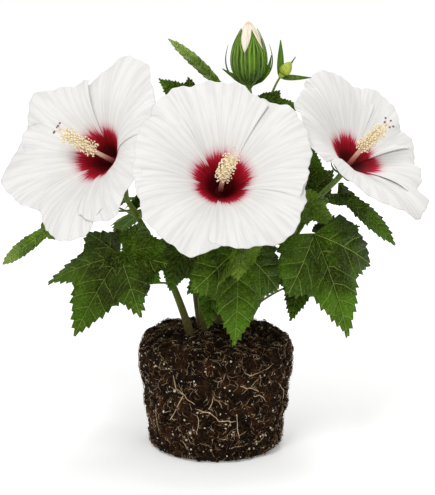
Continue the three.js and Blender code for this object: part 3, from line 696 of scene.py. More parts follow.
def grained_finish(name, colours, scale, fine, rough=0.8, depth=0.3, strength=0.6, **steady):
    """Drifts between colours, with a fine grain."""
    tree = Finish(name, rough, **steady)
    tree.done(tree.patchy(scale, colours), tree.spots(fine), depth, strength)


def thread_finish(name, colours, scale=120):
    grained_finish(name, colours, scale, 1500, depth=0.2, Specular_IOR_Level=0.15)


def peat_finish():
    tree = Finish("peat", rough=1.0, Specular_IOR_Level=0.08)
    grit = tree.spots(900, 4, 0.7)
    threads = tree.grain((900, 900, 160), 3, 0.6)
    colour = tree.patchy(60, ["070402", "150d07", "27180d", "452914"])
    # Painted shade: near-black where the grit's bump is lowest, in the hollows between grains.
    colour = tree.laid(colour, "050302", grit, 0.56, 0.4, 0.8)
    colour = tree.laid(colour, "9a7a55", grit, 0.62, 0.72, 0.8)
    colour = tree.laid(colour, "6b4a2c", threads, 0.6, 0.7, 0.5)
    tree.done(colour, grit + threads * 0.6, depth=1.2, strength=0.9)


def bark_finish():
    """Green bark that turns brown towards its foot."""
    tree = Finish("green_bark", Specular_IOR_Level=0.15)
    grain = tree.grain((1400, 1400, 90), 3, 0.6)
    drift = tree.spots(60)
    height = tree.parted(tree.place)("Z") + drift * 0.06
    green = tree.mixed("465810", "6c7e24", drift)
    colour = tree.laid(green, tree.mixed("3c2e10", "66562a", grain), height, 0.24, 0.15)
    colour = tree.laid(colour, "2f2a12", grain, 0.46, 0.32, 0.7)
    colour = tree.laid(colour, "a9a468", tree.spots(700, 1), 0.68, 0.76, 0.6)
    tree.done(colour, grain, depth=0.5, strength=0.7)


def stalk_finish():
    tree = Finish("leaf_stalk", Specular_IOR_Level=0.3)
    grain = tree.grain((900, 900, 200))
    tree.done(tree.mixed("4c6420", "7d9440", grain), grain, depth=0.2)


def vein_masks(tree):
    """The place along a leaf, and masks of its main veins and of the side veins that leave them."""
    along, off = tree.own_map("veins")
    side = abs(off)
    stray = tree.spots(45) - 0.5
    main = tree.between(side, lerp(*VEIN["edge"], along), lerp(*VEIN["core"], along))
    phase = (along - side * VEIN["slant"] - side * side * VEIN["curl"]) / VEIN["spacing"]
    nearest = abs(tree.maths("FRACT", phase + stray * VEIN["stray"]) - 0.5)
    sector = tree.between(side / along, 0.5, 0.3)
    lateral = tree.between(nearest, 0.465, 0.495) * sector
    return along, main, lateral, (1 - nearest * nearest * 4) * sector


def leaf_finish(name, dark, light, tip_green_and_highlight, vein, rough=0.46):
    """A leaf's upper face: dark by the stalk, brighter towards its tips, partly the leaf's own greener tips
    and partly painted highlight, crinkled between fine side veins.
    """
    tree = Finish(name, Specular_IOR_Level=0.2, Specular_Tint=(0.9, 1.0, 0.2, 1.0))
    along, main, lateral, swell = vein_masks(tree)
    fine = tree.spots(420, 3, 0.6)
    cells = {"Vector": tree.added(tree.place, fine * 0.003), "Scale": 300}
    edge = tree.node("ShaderNodeTexVoronoi", {"feature": "DISTANCE_TO_EDGE"}, cells)("Distance")
    drift = tree.spots(30)
    colour = tree.laid(dark, light, drift, 0.35, 0.7)
    # Lighter towards the tips: the leaf's own greener tips, with painted highlight.
    colour = tree.laid(colour, tip_green_and_highlight, along + (drift - 0.5) * 0.6, 0.35, 0.9, 0.4)
    colour = tree.laid(colour, tip_green_and_highlight, fine, 0.52, 0.74, 0.3)
    colour = tree.laid(colour, dark, fine, 0.46, 0.3, 0.35)
    colour = tree.laid(colour, vein, edge, 0.07, 0.0, 0.16)
    colour = tree.mixed(colour, vein, lateral * 0.55)
    colour = tree.mixed(colour, vein, main * 0.95)
    quilt = swell + tree.between(edge, 0.0, 0.35) * 0.4 + fine * 0.25 - main * 0.8
    tree.done(colour, quilt, depth=2.4, strength=1.0, Roughness=rough - drift * 0.2)


def leaf_under_finish():
    tree = Finish("leaf_underside", rough=0.7, Specular_IOR_Level=0.1)
    _, main, lateral, _ = vein_masks(tree)
    colour = tree.mixed("34500e", "4f6e22", tree.spots(60))
    colour = tree.mixed(colour, "7c9850", lateral * 0.5)
    colour = tree.mixed(colour, "8aa45c", main * 0.9)
    tree.done(colour, main + lateral * 0.5, depth=0.6)


def petal_finish(name, body, shade, eye_strength):
    """White petal with fine radial veins, greyed partly by painted shade of its fine folds, crimson round the
    throat where the eye is strong.
    """
    tree = Finish(name, rough=0.75, Specular_IOR_Level=0.1)
    across, distance = tree.own_map("petal")

    def streaks(waves, stretch, detail=2, rough=0.5):
        return tree.noise(tree.combined(across * waves, distance * stretch), 1.0, detail, rough)

    veins, fine = streaks(14, 1.6, 3, 0.6), streaks(46, 3)
    broad, rays = streaks(30, 1.4, 3, 0.65), streaks(75, 2)
    # Grey along radial streaks: partly the petal's veins, partly painted shade in its fine folds.
    colour = tree.laid(body, shade, veins, 0.42, 0.62, 0.3)
    colour = tree.laid(colour, shade, fine, 0.5, 0.75, 0.25)
    notch = abs(across) ** 6.0 * EYE["notch"]
    edge = EYE["edge"] - notch * EYE["edge"] + (broad - 0.5 + (rays - 0.5) * 0.6) * EYE["streak"] * 2
    halo = tree.between(distance, edge + EYE["halo"], edge - 0.01) * (0.25 + rays * 0.5)
    colour = tree.mixed(colour, "d0607c", halo * eye_strength)
    # Darker into the throat: partly the eye's own deep red, partly painted shade down the throat.
    crimson = tree.laid("b3122f", "8a0210", distance, 0.28, 0.22)
    crimson = tree.laid(crimson, "460105", distance, 0.22, 0.12)
    crimson = tree.laid(crimson, "5c0410", rays, 0.5, 0.35, 0.5)
    crimson = tree.laid(crimson, "cc3a56", rays, 0.52, 0.66, tree.between(distance, 0.14, 0.27) * 0.6)
    colour = tree.laid(colour, crimson, distance, edge + 0.02, edge - 0.014, eye_strength)
    tree.done(colour, veins + fine * 0.5, depth=0.8, strength=0.4)


def column_finish():
    """The column's tube: crimson at its foot, then blush, then cream."""
    tree = Finish("column_tube", rough=0.55)
    along, _ = tree.own_map("length")
    colour = tree.ramp([(0, "9a2030"), (0.16, "d08678"), (0.32, "f0d2ba"), (1, "f7e8cc")], along)
    tree.done(colour, tree.spots(900), depth=0.2)


def sepal_finish(name, dark, light, rib):
    tree = Finish(name, Specular_IOR_Level=0.25)
    across, along = tree.own_map("ribs")
    ribs = tree.between(abs(tree.maths("FRACT", across * 4.5) - 0.5), 0.2, 0.45)
    colour = tree.laid(dark, light, tree.grain((260, 260, 60)), 0.35, 0.65)
    colour = tree.mixed(colour, rib, ribs * 0.75)
    colour = tree.laid(colour, dark, along, 0.45, 0.0, 0.6)
    tree.done(colour, ribs + tree.spots(1600) * 0.4, depth=0.5)


def furled_finish():
    tree = Finish("furled_petal", rough=0.6)
    across, along = tree.own_map("ribs")
    folds = tree.noise(tree.combined(across * 40, along * 3), 1.0)
    colour = tree.laid("f8efdc", "e4c8b4", folds, 0.45, 0.7)
    colour = tree.laid(colour, "c9a078", along, 0.93, 1.0, 0.5)
    tree.done(colour, folds, depth=0.6)


def floor_finish():
    tree = Finish("pale_floor", rough=0.9, Specular_IOR_Level=0.0, Emission_Strength=FLOOR["glow"])
    away = tree.vector("LENGTH", {0: tree.place})("Value")
    # Painted shade: near the plant the floor keeps only the near share of its glow.
    glow_with_painted_shade = tree.between(away, *FLOOR["fade"]) * (1 - FLOOR["near"]) + FLOOR["near"]
    tree.done(tree.spots(3) * 0.02 + FLOOR["shade"], Emission_Color=glow_with_painted_shade)


# Blooms


def funnel(bloom, distance):
    """Height of the open funnel above the bottom of the throat, at a distance from its axis."""
    top = 1 - math.exp(-(bloom["radius"] - PETAL["throat"]) / bloom["flare"])
    return bloom["depth"] * (1 - np.exp(-(distance - PETAL["throat"]) / bloom["flare"])) / top


def petal_sheet(bloom, number):
    """A petal's surface in its bloom's frame, and its place across and out from the axis at each point."""
    turn, spread, radii = bloom["petals"][number]
    half = math.radians(spread)
    u, v = net(PETAL["rows"], PETAL["columns"])
    phase = number * PETAL["shift"] + turn

    def ripple(kind):
        return sum(height * np.sin(across * u + shift * phase + along * v)
                   for height, across, shift, along in RIPPLES[kind])

    radius = lerp(PETAL["throat"], smooth_row(radii, 2 * u + 2) * (1 + ripple("scallops")), v)
    wave = PETAL["ruffle"] * v**3 * np.sin(PETAL["waves"] * math.pi * u + phase)
    pleats = v**1.5 * (ripple("pleats") * (0.5 + ripple("pleated")) + ripple("creases"))
    frill = v**7 * ripple("frill") * (0.6 + ripple("frilled"))
    soft = (wave + pleats + v**1.2 * ripple("folds") + frill) * (1 - PETAL["calm"] * abs(u) ** 3)
    height = funnel(bloom, radius) - PETAL["lap"] * u * v + soft - PETAL["recurve"] * v**6
    sheet = polar(radius, math.radians(turn) + half * u, height)
    where = np.stack(np.broadcast_arrays(u, radius / 100), axis=-1)
    flat = polar(v * 50 + 5, half * u, 0.0)[..., :2]
    return sheet, where.reshape(-1, 2), flat.reshape(-1, 2)


def in_cell(flat, number, cells):
    """A flat layout fitted into one cell of a square page that has room for a number of cells."""
    across = math.ceil(math.sqrt(cells))
    low = flat.min(axis=0)
    local = MARGIN + (1 - 2 * MARGIN) * (flat - low) / (flat.max(axis=0) - low).max()
    return (local + [number % across, number // across]) / across


def skin_page(flat, number, cells):
    """A rule that lays a skin's front on one cell of the page for baking, and its back on the next."""
    pages = {"front": in_cell(flat, number, cells), "back": in_cell(flat, number + 1, cells)}
    return lambda faces, side: pages.get(side, pages["front"])[faces]


def corolla(name, bloom, matrix):
    heap = Heap("petal", "OFBake", matrix=matrix)
    count = len(bloom["petals"])
    for number in range(count):
        sheet, where, flat = petal_sheet(bloom, number)
        page = skin_page(flat, 2 * number, 2 * count)
        heap.add_skin(sheet, PETAL["thick"], (0, 1), petal=where, OFBake=page)
    heap.add(tube([(0, 0, -PLUG["below"]), (0, 0, PLUG["above"])], [PLUG["radius"]] * 2, 32))
    heap.piece(f"bloom_{name}", ["petal_face", "petal_back"], "petal_white", f"petals_{name}")


def anther_tree():
    """Anthers on fine filaments, each a golden angle on from the last, up a curved column."""
    sizes = {"Start": (0.0, 0.0, 0.0), "Middle": (0.0, 0.0, 0.0), "End": (0.0, 0.0, 0.0), "Count": 90,
             "Begin": 0.3, "Finish at": 0.9, "Reach": 0.008, "Anther": 0.001, "Seed": 3}

    def build(tree, given):
        start, middle, end = given("Start"), given("Middle"), given("End")
        curve = tree.grown("CurveQuadraticBezier", Start=start, Middle=middle, End=end, Resolution=24)()
        points = tree.grown("Points", Count=given("Count"))()
        index = tree.grown("InputIndex")()
        share = given("Begin") + (given("Finish at") - given("Begin")) * index / given("Count")
        sample = tree.grown("SampleCurve", {"mode": "FACTOR"}, Curves=curve, Factor=share)
        foot, along = sample("Position"), sample("Tangent")
        side = tree.vector("CROSS_PRODUCT", {0: along, 1: tuple(SECTION)})()
        spin = {"Vector": side, "Axis": along, "Angle": index * GOLDEN}
        out = tree.vector("NORMALIZE", {0: tree.node("ShaderNodeVectorRotate", None, spin)()})()
        aim = tree.added(out, tree.scaled(along, ANTHERS["lean"]))
        turn = tree.node("FunctionNodeAlignRotationToVector", {"axis": "Z"}, {"Vector": aim})()
        reach = given("Reach") * tree.chance(*ANTHERS["reach"], given("Seed"))
        at_foot = tree.grown("SetPosition", Geometry=points, Position=foot)()
        far = tree.added(foot, tree.scaled(aim, reach))
        at_head = tree.grown("SetPosition", Geometry=points, Position=far)()
        top, bottom = ANTHERS["rod"]
        filament = tree.grown("MeshCone", Vertices=4, Side_Segments=1, Radius_Top=top, Radius_Bottom=bottom,
                              Depth=1.0)()
        ball = tree.grown("MeshIcoSphere", Radius=given("Anther"), Subdivisions=2)()
        bean = tree.grown("Transform", Geometry=ball, Scale=ANTHERS["bean"])()
        joined = tree.grown("JoinGeometry")()
        filaments = tree.instances(at_foot, filament, turn, tree.combined(1.0, 1.0, reach))
        heads = tree.instances(at_head, bean, turn)
        for shape in (filaments, heads):
            tree.feed(joined.socket.node.inputs[0], shape)
        return joined

    return grown_tree("anther brush", sizes, build)


def stamens(name, bloom, matrix, brush):
    """The column in the middle of a bloom: its tube, its brush of anthers and the styles at its tip."""
    heap = Heap("length", matrix=matrix)
    length = COLUMN["length"]
    controls = [(0, 0, PLUG["above"] + GAP), (0, 0, length * COLUMN["bend"]), (*bloom["lean"], length)]
    share = shares(COLUMN["steps"])
    radii = lerp(COLUMN["radius"], COLUMN["tip"], share)
    heap.add(tube(curve_points(controls, share), radii, COLUMN["sides"]), 0, "length")
    ends = dict(zip(("start", "middle", "end"), (tuple(np.array(c, float) * MM) for c in controls)))
    heap.add_mesh(grow(brush, bpy.data.meshes.new("base"), "pollen", count=COLUMN["anthers"],
                       begin=COLUMN["begin"], finish_at=COLUMN["end"], reach=COLUMN["reach"] * MM,
                       anther=COLUMN["anther"] * MM, **ends), 1)
    along = curve_tangent(controls, 0.99)
    side, other = square_to(along)
    foot = curve_points(controls, [STYLES["begin"]])[0]
    reach = along * STYLES["length"]
    for i in range(STYLES["count"]):
        angle = 2 * math.pi * i / STYLES["count"]
        out = side * math.cos(angle) + other * math.sin(angle)
        head = foot + reach + out * STYLES["spread"]
        arm = curve_points([foot, foot + reach * STYLES["knee"], head], shares(8))
        heap.add(tube(arm, np.full(8, STYLES["radius"]), 8), 0, "length", 0.1, 0.5)
        knob = curve_points([head + out * far for far in STYLES["knob"]], shares(7))
        swell = STYLES["head"] * np.sqrt(1 - np.linspace(-0.98, 0.98, 7) ** 2)
        heap.add(tube(knob, swell, 10), 2)
    finishes = ["column_tube", "pollen", bloom["stigma"]]
    heap.piece(f"stamens_{name}", finishes, "anther_cream", f"column_{name}")


def bract_tree():
    """A ring of slim bracts that grow from a receptacle and curve up round what they hold."""
    sizes = {"Count": 8, "Radius": 0.001, "Foot": 0.002, "Below": 0.01, "Spread": 0.015, "Out": 0.025,
             "Up": 0.014, "Swing": 0.0}

    def build(tree, given):
        low = 0 - given("Below")
        start, middle, end = (tree.combined(given(out), 0.0, up) for out, up in (
            ("Foot", low), ("Spread", given("Swing") + low), ("Out", given("Up") + low)))
        curve = tree.grown("CurveQuadraticBezier", Start=start, Middle=middle, End=end, Resolution=12)()
        share = tree.grown("SplineParameter")("Factor")
        bract = tree.tapered(curve, 8, given("Radius"), 1 - share * share * 0.85)
        points = tree.grown("Points", Count=given("Count"))()
        turn = (tree.grown("InputIndex")() + 0.4) * 2 * math.pi / given("Count")
        return tree.instances(points, bract, tree.spun((0, 0, 1), turn))

    return grown_tree("bract ring", sizes, build)


def bract_ring(tree, count, radius, below, spread, out, up, swing):
    """A ring of bracts that bend at a share of their height, given last."""
    sizes = dict(radius=radius, foot=2 * radius, below=below, spread=spread, out=out, up=up, swing=swing * up)
    sizes = {key: size * MM for key, size in sizes.items()}
    return grow(tree, bpy.data.meshes.new("base"), "bract_green", count=count, **sizes)


def flower_stalk(flower, matrix, below, foot, head, sides):
    """A flower's stalk in its own frame, from its stem's tip or side, swinging round to the flower's axis."""
    controls = stem_controls(flower["stem"])
    at = flower.get("at", 1)
    top = np.array([0, 0, -below], float)
    start = curve_points(controls, [at])[0]
    along = curve_tangent(controls, at)
    ahead = along
    if at < 1:
        sideways = moved(top, matrix) - start
        ahead = unit(sideways - along * (sideways @ along))
    back = np.linalg.inv(matrix)
    start = moved(start, back)
    ahead = back[:3, :3] @ ahead
    knee = np.linalg.norm(start - top) * FLOWER_STALK["knee"]
    share = shares(FLOWER_STALK["steps"])
    path = curve_points([start, start + ahead * knee, top - UP * knee, top], share)
    return tube(path, lerp(foot, head, share), sides)


def cup(foot, full, low, high, steps):
    """A cup that opens from its foot to its full radius between two heights."""
    rings = [(lerp(foot, full, math.sin(s * math.pi / 2)), lerp(low, high, s)) for s in shares(steps)]
    return lathe([(0, low), *rings, (0, high)], 24)


def sepal_ring(bloom):
    """The sepals behind a bloom, each cupped under two petals' edges."""
    u, v = net(18, 14)
    for turn, _, _ in bloom["petals"]:
        radius = lerp(CALYX["receptacle"] - 2, CALYX["reach"], v)
        width = math.radians(CALYX["half"]) * (1 - 0.96 * v**2)
        height = funnel(bloom, np.maximum(radius, PETAL["throat"])) - CALYX["below"] - CALYX["droop"] * v
        crest = CALYX["crest"] * np.cos(3 * math.pi * u) * (1 - v)
        yield polar(radius, math.radians(turn + SPACING / 2) + width * u, height - crest)


def calyx(name, bloom, matrix, bracts):
    heap = Heap("ribs", matrix=matrix)
    for sheet in sepal_ring(bloom):
        heap.add_ribbed(sheet, CALYX["thick"])
    depth, foot = CALYX["depth"], CALYX["foot"]
    heap.add(cup(foot, CALYX["receptacle"], -depth, -PLUG["below"] - GAP, 12), 0, "ribs", [5, 1])
    tip = STEMS[bloom["stem"]]["radii"][1]
    heap.add(flower_stalk(bloom, matrix, depth - 1, tip, foot, 16), 1, "ribs")
    heap.add_mesh(bract_ring(bracts, **BRACTS), 2)
    heap.piece(f"sepals_{name}", ["sepal_green", "leaf_stalk", "bract_green"], "calyx_green", f"calyx_{name}")


# Buds


def egg_radius(bud, share):
    s = np.clip(share, 1e-6, 1)
    swell = np.abs(np.sin(math.pi * s ** EGG["broad"])) ** EGG["blunt"]
    return bud["radius"] * swell * (1 - EGG["taper"] * s)


def egg(bud, steps, sides, ridges):
    profile = [(egg_radius(bud, s), s * bud["length"] + GAP) for s in shares(steps)]
    profile[0], profile[-1] = (0, GAP), (0, bud["length"] + GAP)
    return lathe(profile, sides, ridges)


def furled_petals(bud, matrix):
    """Petals rolled round each other into an egg, with their edges standing in a spiral."""

    def rolls(angle, share):
        spiral = (angle * ROLLS["petals"] / (2 * math.pi) + share * ROLLS["twist"]) % 1
        rounding = ROLLS["round"] * share * np.cos(2 * math.pi * spiral)
        return 1 - ROLLS["step"] * share**1.2 * spiral**2 - rounding

    heap = Heap("ribs", matrix=matrix)
    heap.add(egg(bud, 64, 80, rolls), 0, "ribs")
    heap.piece("furled_petals", ["furled_petal"], "petal_white", "bud_large_petals")


def bud_sepals(bud):
    u, v = net(30, 16)
    share = v * SEPAL["closed"]
    narrow = np.clip((v - SEPAL["open"]) / (1 - SEPAL["open"]), 0, 1) ** 0.9
    width = math.radians(SEPAL["half"]) * (1 - 0.98 * narrow)
    radius = np.maximum(egg_radius(bud, share), SEPAL["foot"] * (1 - v)) + GAP + SEPAL["clear"]
    ribs = SEPAL["rib"] * np.cos(6 * math.pi * u) * (1 - v)
    for number in range(SEPALS):
        middle = math.radians(SPACING * number + SEPAL["turn"])
        yield polar(radius + ribs, middle + width * u, share * bud["length"] - SEPAL["below"] * (1 - v))


def leafy_bract(begin, turn, bend, tip):
    """A pointed leafy bract along a curve from a bud's foot, rolled about its length and creased."""
    angle, roll = math.radians(turn), math.radians(LEAFY["roll"])
    controls = [polar(out, angle, up) for out, up in (begin, bend, tip)]
    u, v = net(20, 9)
    path = curve_points(controls, v[:, 0])[:, None]
    along = unit(np.gradient(path, axis=0))
    level = polar(1, angle + math.pi / 2, 0)
    across = level * math.cos(roll) + np.cross(along, level) * math.sin(roll)
    half = LEAFY["width"] * np.linalg.norm(controls[2] - controls[0])
    full = lerp(LEAFY["base"], LEAFY["end"], v ** LEAFY["swell"])
    side = (u * half * np.sin(math.pi * full))[..., None]
    return path + across * side + np.cross(along, across) * LEAFY["crease"] * np.abs(side)


def bud_cup(name, bud, matrix, bracts):
    heap = Heap("ribs", matrix=matrix)
    large = name == "large"
    size = 1 if large else CUP["small"]
    below = CUP["below"] * size
    if large:
        for sheet in bud_sepals(bud):
            heap.add_ribbed(sheet, SEPAL["thick"])
    else:
        heap.add(egg(bud, 24, 40, lambda a, s: 1 + 0.06 * np.cos(5 * a) * (1 - s)), 0, "ribs", [5, 1])
    foot, full, depth = (CUP[key] * size for key in ("foot", "receptacle", "depth"))
    heap.add(cup(foot, full, -depth, CUP["rim"], 10), 0, "ribs", [5, 1])
    foot = STEMS[bud["stem"]]["radii"][1] if large else CUP["small_foot"]
    heap.add(flower_stalk(bud, matrix, below, foot, CUP["stalk"] * size, 14), 1, "ribs")
    for leafy in bud["leafy"]:
        heap.add_ribbed(leafy_bract(bud["begin"], *leafy), LEAFY["thick"], 2)
    if bud["ring"]:
        spread, out = (bud["radius"] * HUG[key] for key in ("spread", "out"))
        ring = bract_ring(bracts, bud["ring"], HUG["radius"] * size, below, spread, out, bud["bracts"],
                          HUG["swing"])
        heap.add_mesh(ring, 2)
    sepals = "bud_sepal" if large else "young_bud"
    heap.piece(f"cup_{name}", [sepals, "leaf_stalk", "bract_green"], "calyx_green", f"bud_{name}_calyx")


# Leaves


def stem_controls(name):
    stem = STEMS[name]
    return [(*stem["foot"], BALL["height"] - SUNK), stem["bend"], stem["tip"]]


def margin(shape, angle):
    """How far the margin lies from the stalk's end at an angle from the midrib, as a share of the length."""
    off = np.abs(angle)
    terms = [LEAVES[shape]["body"] * (1 - LEAF["waist"] * (off / 180) ** 2)]
    for at, length, spread, drawn in LEAVES[shape]["lobes"]:
        away = np.abs(off - at)
        broad = (1 - drawn) * np.exp(-((away / spread) ** 2))
        terms.append(length * (broad + drawn * np.exp(-away / LEAF["drawn"])))
    return sum(t ** LEAF["blend"] for t in terms) ** (1 / LEAF["blend"])


def toothed_margin(shape, length):
    """Angles round the margin and, for each, how far its tooth stands out and leans towards the lobe's tip.

    Each stretch between a notch and a lobe's tip has whole teeth, all about as long.
    """
    tips = [lobe[0] for lobe in LEAVES[shape]["lobes"]]
    keys = sorted(tips + [(a + b) / 2 for a, b in zip(tips, tips[1:])] + [LEAVES[shape]["round"]])
    keys = [-k for k in keys[:0:-1]] + keys
    tips = set(tips) | {-t for t in tips}
    pitch = max(TEETH["least"], TEETH["pitch"] * length)
    angles, out, lean = [], [], []
    for low, high in zip(keys, keys[1:]):
        fine = np.linspace(low, high, 200)
        reach = margin(shape, fine) * length
        edge = np.stack([reach * np.cos(np.radians(fine)), reach * np.sin(np.radians(fine))], axis=-1)
        run = np.concatenate([[0], np.cumsum(np.linalg.norm(np.diff(edge, axis=0), axis=1))])
        count = max(2, round(run[-1] / pitch))
        upward = high in tips
        peak = TEETH["peak"] if upward else 1 - TEETH["peak"]
        shoulder = peak / 2 if upward else (1 + peak) / 2
        tooth = sorted([(0, 0.0), (peak, 1.0), (shoulder, TEETH["shoulder"])])
        for number in range(count):
            for share, height in tooth:
                place = (number + share) / count
                fade = min(1, TEETH["low"] + min(place, 1 - place) / TEETH["clear"])
                fade *= 1 + TEETH["vary"] * math.sin(TEETH["beat"] * number + high)
                angles.append(np.interp(place * run[-1], run, fine))
                out.append(height * fade)
                lean.append(height if upward else -height)
    angles.append(keys[-1])
    out.append(0.0)
    lean.append(0.0)
    return np.array(angles), np.array(out), np.array(lean)


def leaf_frame(leaf):
    _, _, (turn, drop), faces = leaf[:4]
    along = heading(turn, drop)
    across = unit(np.cross(heading(faces, LEAF["faces"]), along))
    return along, np.cross(along, across), across


def leaf_sheet(leaf, base):
    """A leaf's surface as rings from the stalk's end out to the toothed margin, and its flat layout."""
    _, _, _, _, length, shape, bow, _ = leaf
    along, over, across = leaf_frame(leaf)
    angles, out, lean = toothed_margin(shape, length)
    theta = np.radians(angles)
    v = np.linspace(LEAF["start"], 1, LEAF["rings"])[:, None]
    reach = margin(shape, angles) * length
    flat = polar(v ** LEAF["crowd"] * reach, theta, 0.0)[..., :2]
    tangent = unit(np.gradient(flat[-1], axis=0))
    outward = np.stack([tangent[:, 1], -tangent[:, 0]], axis=-1)
    depth = TEETH["depth"] * LEAVES[shape]["teeth"] * length
    flat[-1] += depth * (outward * (out - TEETH["sunk"])[:, None] + tangent * (TEETH["lean"] * lean)[:, None])
    x, y = flat[..., 0], flat[..., 1]
    crease = LEAF["fold"] * np.abs(y) * (1 - LEAF["flat"] * v) - LEAF["cup"] * y * y / length
    wave = LEAF["wave"] * length * v * v * np.sin(np.radians(angles * LEAF["waves"]) + length)
    turn, lift = math.radians(bow) / length, math.radians(bow) / 2
    forth = np.sin(turn * x) / turn
    down = (1 - np.cos(turn * x)) / turn - crease - wave - quilting(leaf, flat, v)
    sheet = (base + along * (forth * math.cos(lift) + down * math.sin(lift))[..., None]
             + over * (forth * math.sin(lift) - down * math.cos(lift))[..., None] + across * y[..., None])
    return sheet, flat.reshape(-1, 2)


def lobe_angles(shape):
    tips = [lobe[0] for lobe in LEAVES[shape]["lobes"]]
    return np.array(sorted({-t for t in tips} | set(tips)), float)


def vein_places(shape, length, flat, angles):
    """Place along and off the main vein nearest to the given angle, as shares of the length."""
    lobes = lobe_angles(shape)
    nearest = lobes[np.abs(angles[..., None] - lobes).argmin(axis=-1)]
    a = np.radians(nearest)
    x, y = flat[..., 0], flat[..., 1]
    places = np.stack([x * np.cos(a) + y * np.sin(a), y * np.cos(a) - x * np.sin(a)], axis=-1) / length
    return places, np.abs(angles - nearest)


def quilting(leaf, flat, v):
    """The blade swells between its side veins and sinks along its main veins."""
    _, _, _, _, length, shape, _, _ = leaf
    angles = np.degrees(np.arctan2(flat[..., 1], flat[..., 0]))
    places, off = vein_places(shape, length, flat, angles)
    along, side = places[..., 0], np.abs(places[..., 1])
    phase = (along - VEIN["slant"] * side - VEIN["curl"] * side**2) / VEIN["spacing"]
    lobes = lobe_angles(shape)
    gap = np.diff(lobes).min() / 2 if len(lobes) > 1 else LEAVES[shape]["round"]
    inside = np.clip(1 - (off / gap) ** 4, 0, 1) * (1 - v**6)
    size = length / 100
    swell = PUCKER["height"] * size * (0.5 - 0.5 * np.cos(2 * math.pi * phase))
    swell = swell * np.clip(side * PUCKER["side"], 0, 1)
    groove = PUCKER["groove"] * size * np.exp(-((side * length / (PUCKER["width"] * size)) ** 2))
    return (swell * inside - groove * (1 - PUCKER["fade"] * np.clip(along, 0, 1))) * inside


def seeded(seed):
    """An endless row of shares from 0 to 1 that is always the same for a seed."""
    state = seed
    while True:
        state = (state * 1664525 + 1013904223) % 2**32
        yield state / 2**32


def fill_leaves(name):
    """Leaves that a mass may grow out of sight, each a golden turn on from the last."""
    part = MASSES[name]
    count, towards = part["fill"]
    random = seeded(FILL["seed"] + len("leaves_" + name))
    places = 2 * count - 1
    for i in range(count * FILL["tries"]):
        turn = towards + ((i * FILL["golden"] / 360) % 1 - 0.5) * FILL["fan"]
        at = lerp(*part["span"], lerp(*FILL["along"], (2 * i % places) / places))
        stalk = (turn, lerp(*FILL["rise"], next(random)), lerp(*FILL["stalk"], next(random)))
        blade = (turn + lerp(*FILL["swing"], next(random)), lerp(*FILL["drop"], next(random)))
        length = lerp(*FILL["length"], next(random))
        shape = "lobed" if next(random) < FILL["lobed"] else "ternate"
        bow = lerp(*FILL["bow"], next(random))
        yield (at, stalk, blade, turn, length, shape, bow, ("old", "grown", "young")[i % 3])


def leaf_base(stem, leaf):
    at, (turn, rise, length) = leaf[:2]
    root = curve_points(stem_controls(stem), [at])[0]
    return root, root + heading(turn, rise) * length


def grown_leaves(name):
    """A mass's leaves: those that show, and those out of sight that its solid in the frame has too."""
    part = MASSES[name]
    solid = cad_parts["leaves_" + name].data
    corners = [v.co for v in solid.vertices]
    tree = BVHTree.FromPolygons(corners, [p.vertices for p in solid.polygons])
    kept = list(part["leaves"])
    for leaf in fill_leaves(name):
        _, base = leaf_base(part["stem"], leaf)
        sheet, _ = leaf_sheet(leaf, base)
        tip = sheet[-1, sheet.shape[1] // 2]
        near = tree.find_nearest(Vector(tip * MM))[3]
        if near < LEAF["near"] * MM:
            kept.append(leaf)
    return kept


def foliage(name, stalks):
    part = MASSES[name]
    heap = Heap("veins", "OFBake")
    leaves = grown_leaves(name)
    ages = {"old": 0, "grown": 1, "young": 2}
    share = shares(STALK["steps"])
    swell = 1 + sum(more * np.exp(-((away / reach) ** 2))
                    for (more, reach), away in ((STALK["foot"], share), (STALK["head"], 1 - share)))
    for number, leaf in enumerate(leaves):
        root, base = leaf_base(part["stem"], leaf)
        sheet, flat = leaf_sheet(leaf, base)
        length, shape = leaf[4], leaf[5]

        def veins(faces, side):
            middle = flat[faces].mean(axis=1)
            angle = np.degrees(np.arctan2(middle[:, 1], middle[:, 0]))
            return vein_places(shape, length, flat[faces], np.repeat(angle[:, None], 4, axis=1))[0]

        page = skin_page(flat, 2 * number, 2 * len(leaves))
        heap.add_skin(sheet, LEAF["thick"], (ages[leaf[7]], 3), veins=veins, OFBake=page)
        middle = lerp(root, base, STALK["middle"]) + UP * STALK["arch"] * leaf[1][2]
        path = curve_points([root, middle, base + heading(*leaf[2]) * STALK["into"]], share)
        stalks.add(tube(path, lerp(STALK["radius"], STALK["tip"], share) * swell, STALK["sides"]))
    finishes = ["leaf_old", "leaf_grown", "leaf_young", "leaf_underside"]
    heap.piece(f"foliage_{name}", finishes, "leaf_green", f"leaves_{name}")


# Stems


def bough(name):
    """A stem from its foot in the peat to its tip, ridged, and swollen where its leaves leave it."""
    share = shares(BOUGH["steps"])
    radii = lerp(*STEMS[name]["radii"], share)
    joints = [leaf[0] for part in MASSES.values() if part["stem"] == name for leaf in part["leaves"]]
    for at in joints:
        radii = radii * (1 + BOUGH["swell"] * np.exp(-(((share - at) / BOUGH["reach"]) ** 2)))

    def ridges(angle, along):
        return 1 + 0.035 * np.sin(5 * angle + 3 * along) + 0.02 * np.sin(11 * angle - 9 * along)

    heap = Heap()
    heap.add(tube(curve_points(stem_controls(name), share), radii, BOUGH["sides"], ridges))
    heap.piece(f"bough_{name}", ["green_bark"], "stem_green", f"stem_{name}")


# Root ball


def ball_lumps(p):
    """How far the ball's lumps stand out at each place."""
    x, y, z = p[..., 0], p[..., 1], p[..., 2]
    return np.sin(x / 9 + 1.3) * np.cos(y / 8 - 0.4) + np.sin(z / 7 + x / 13 + 0.7) * 0.6


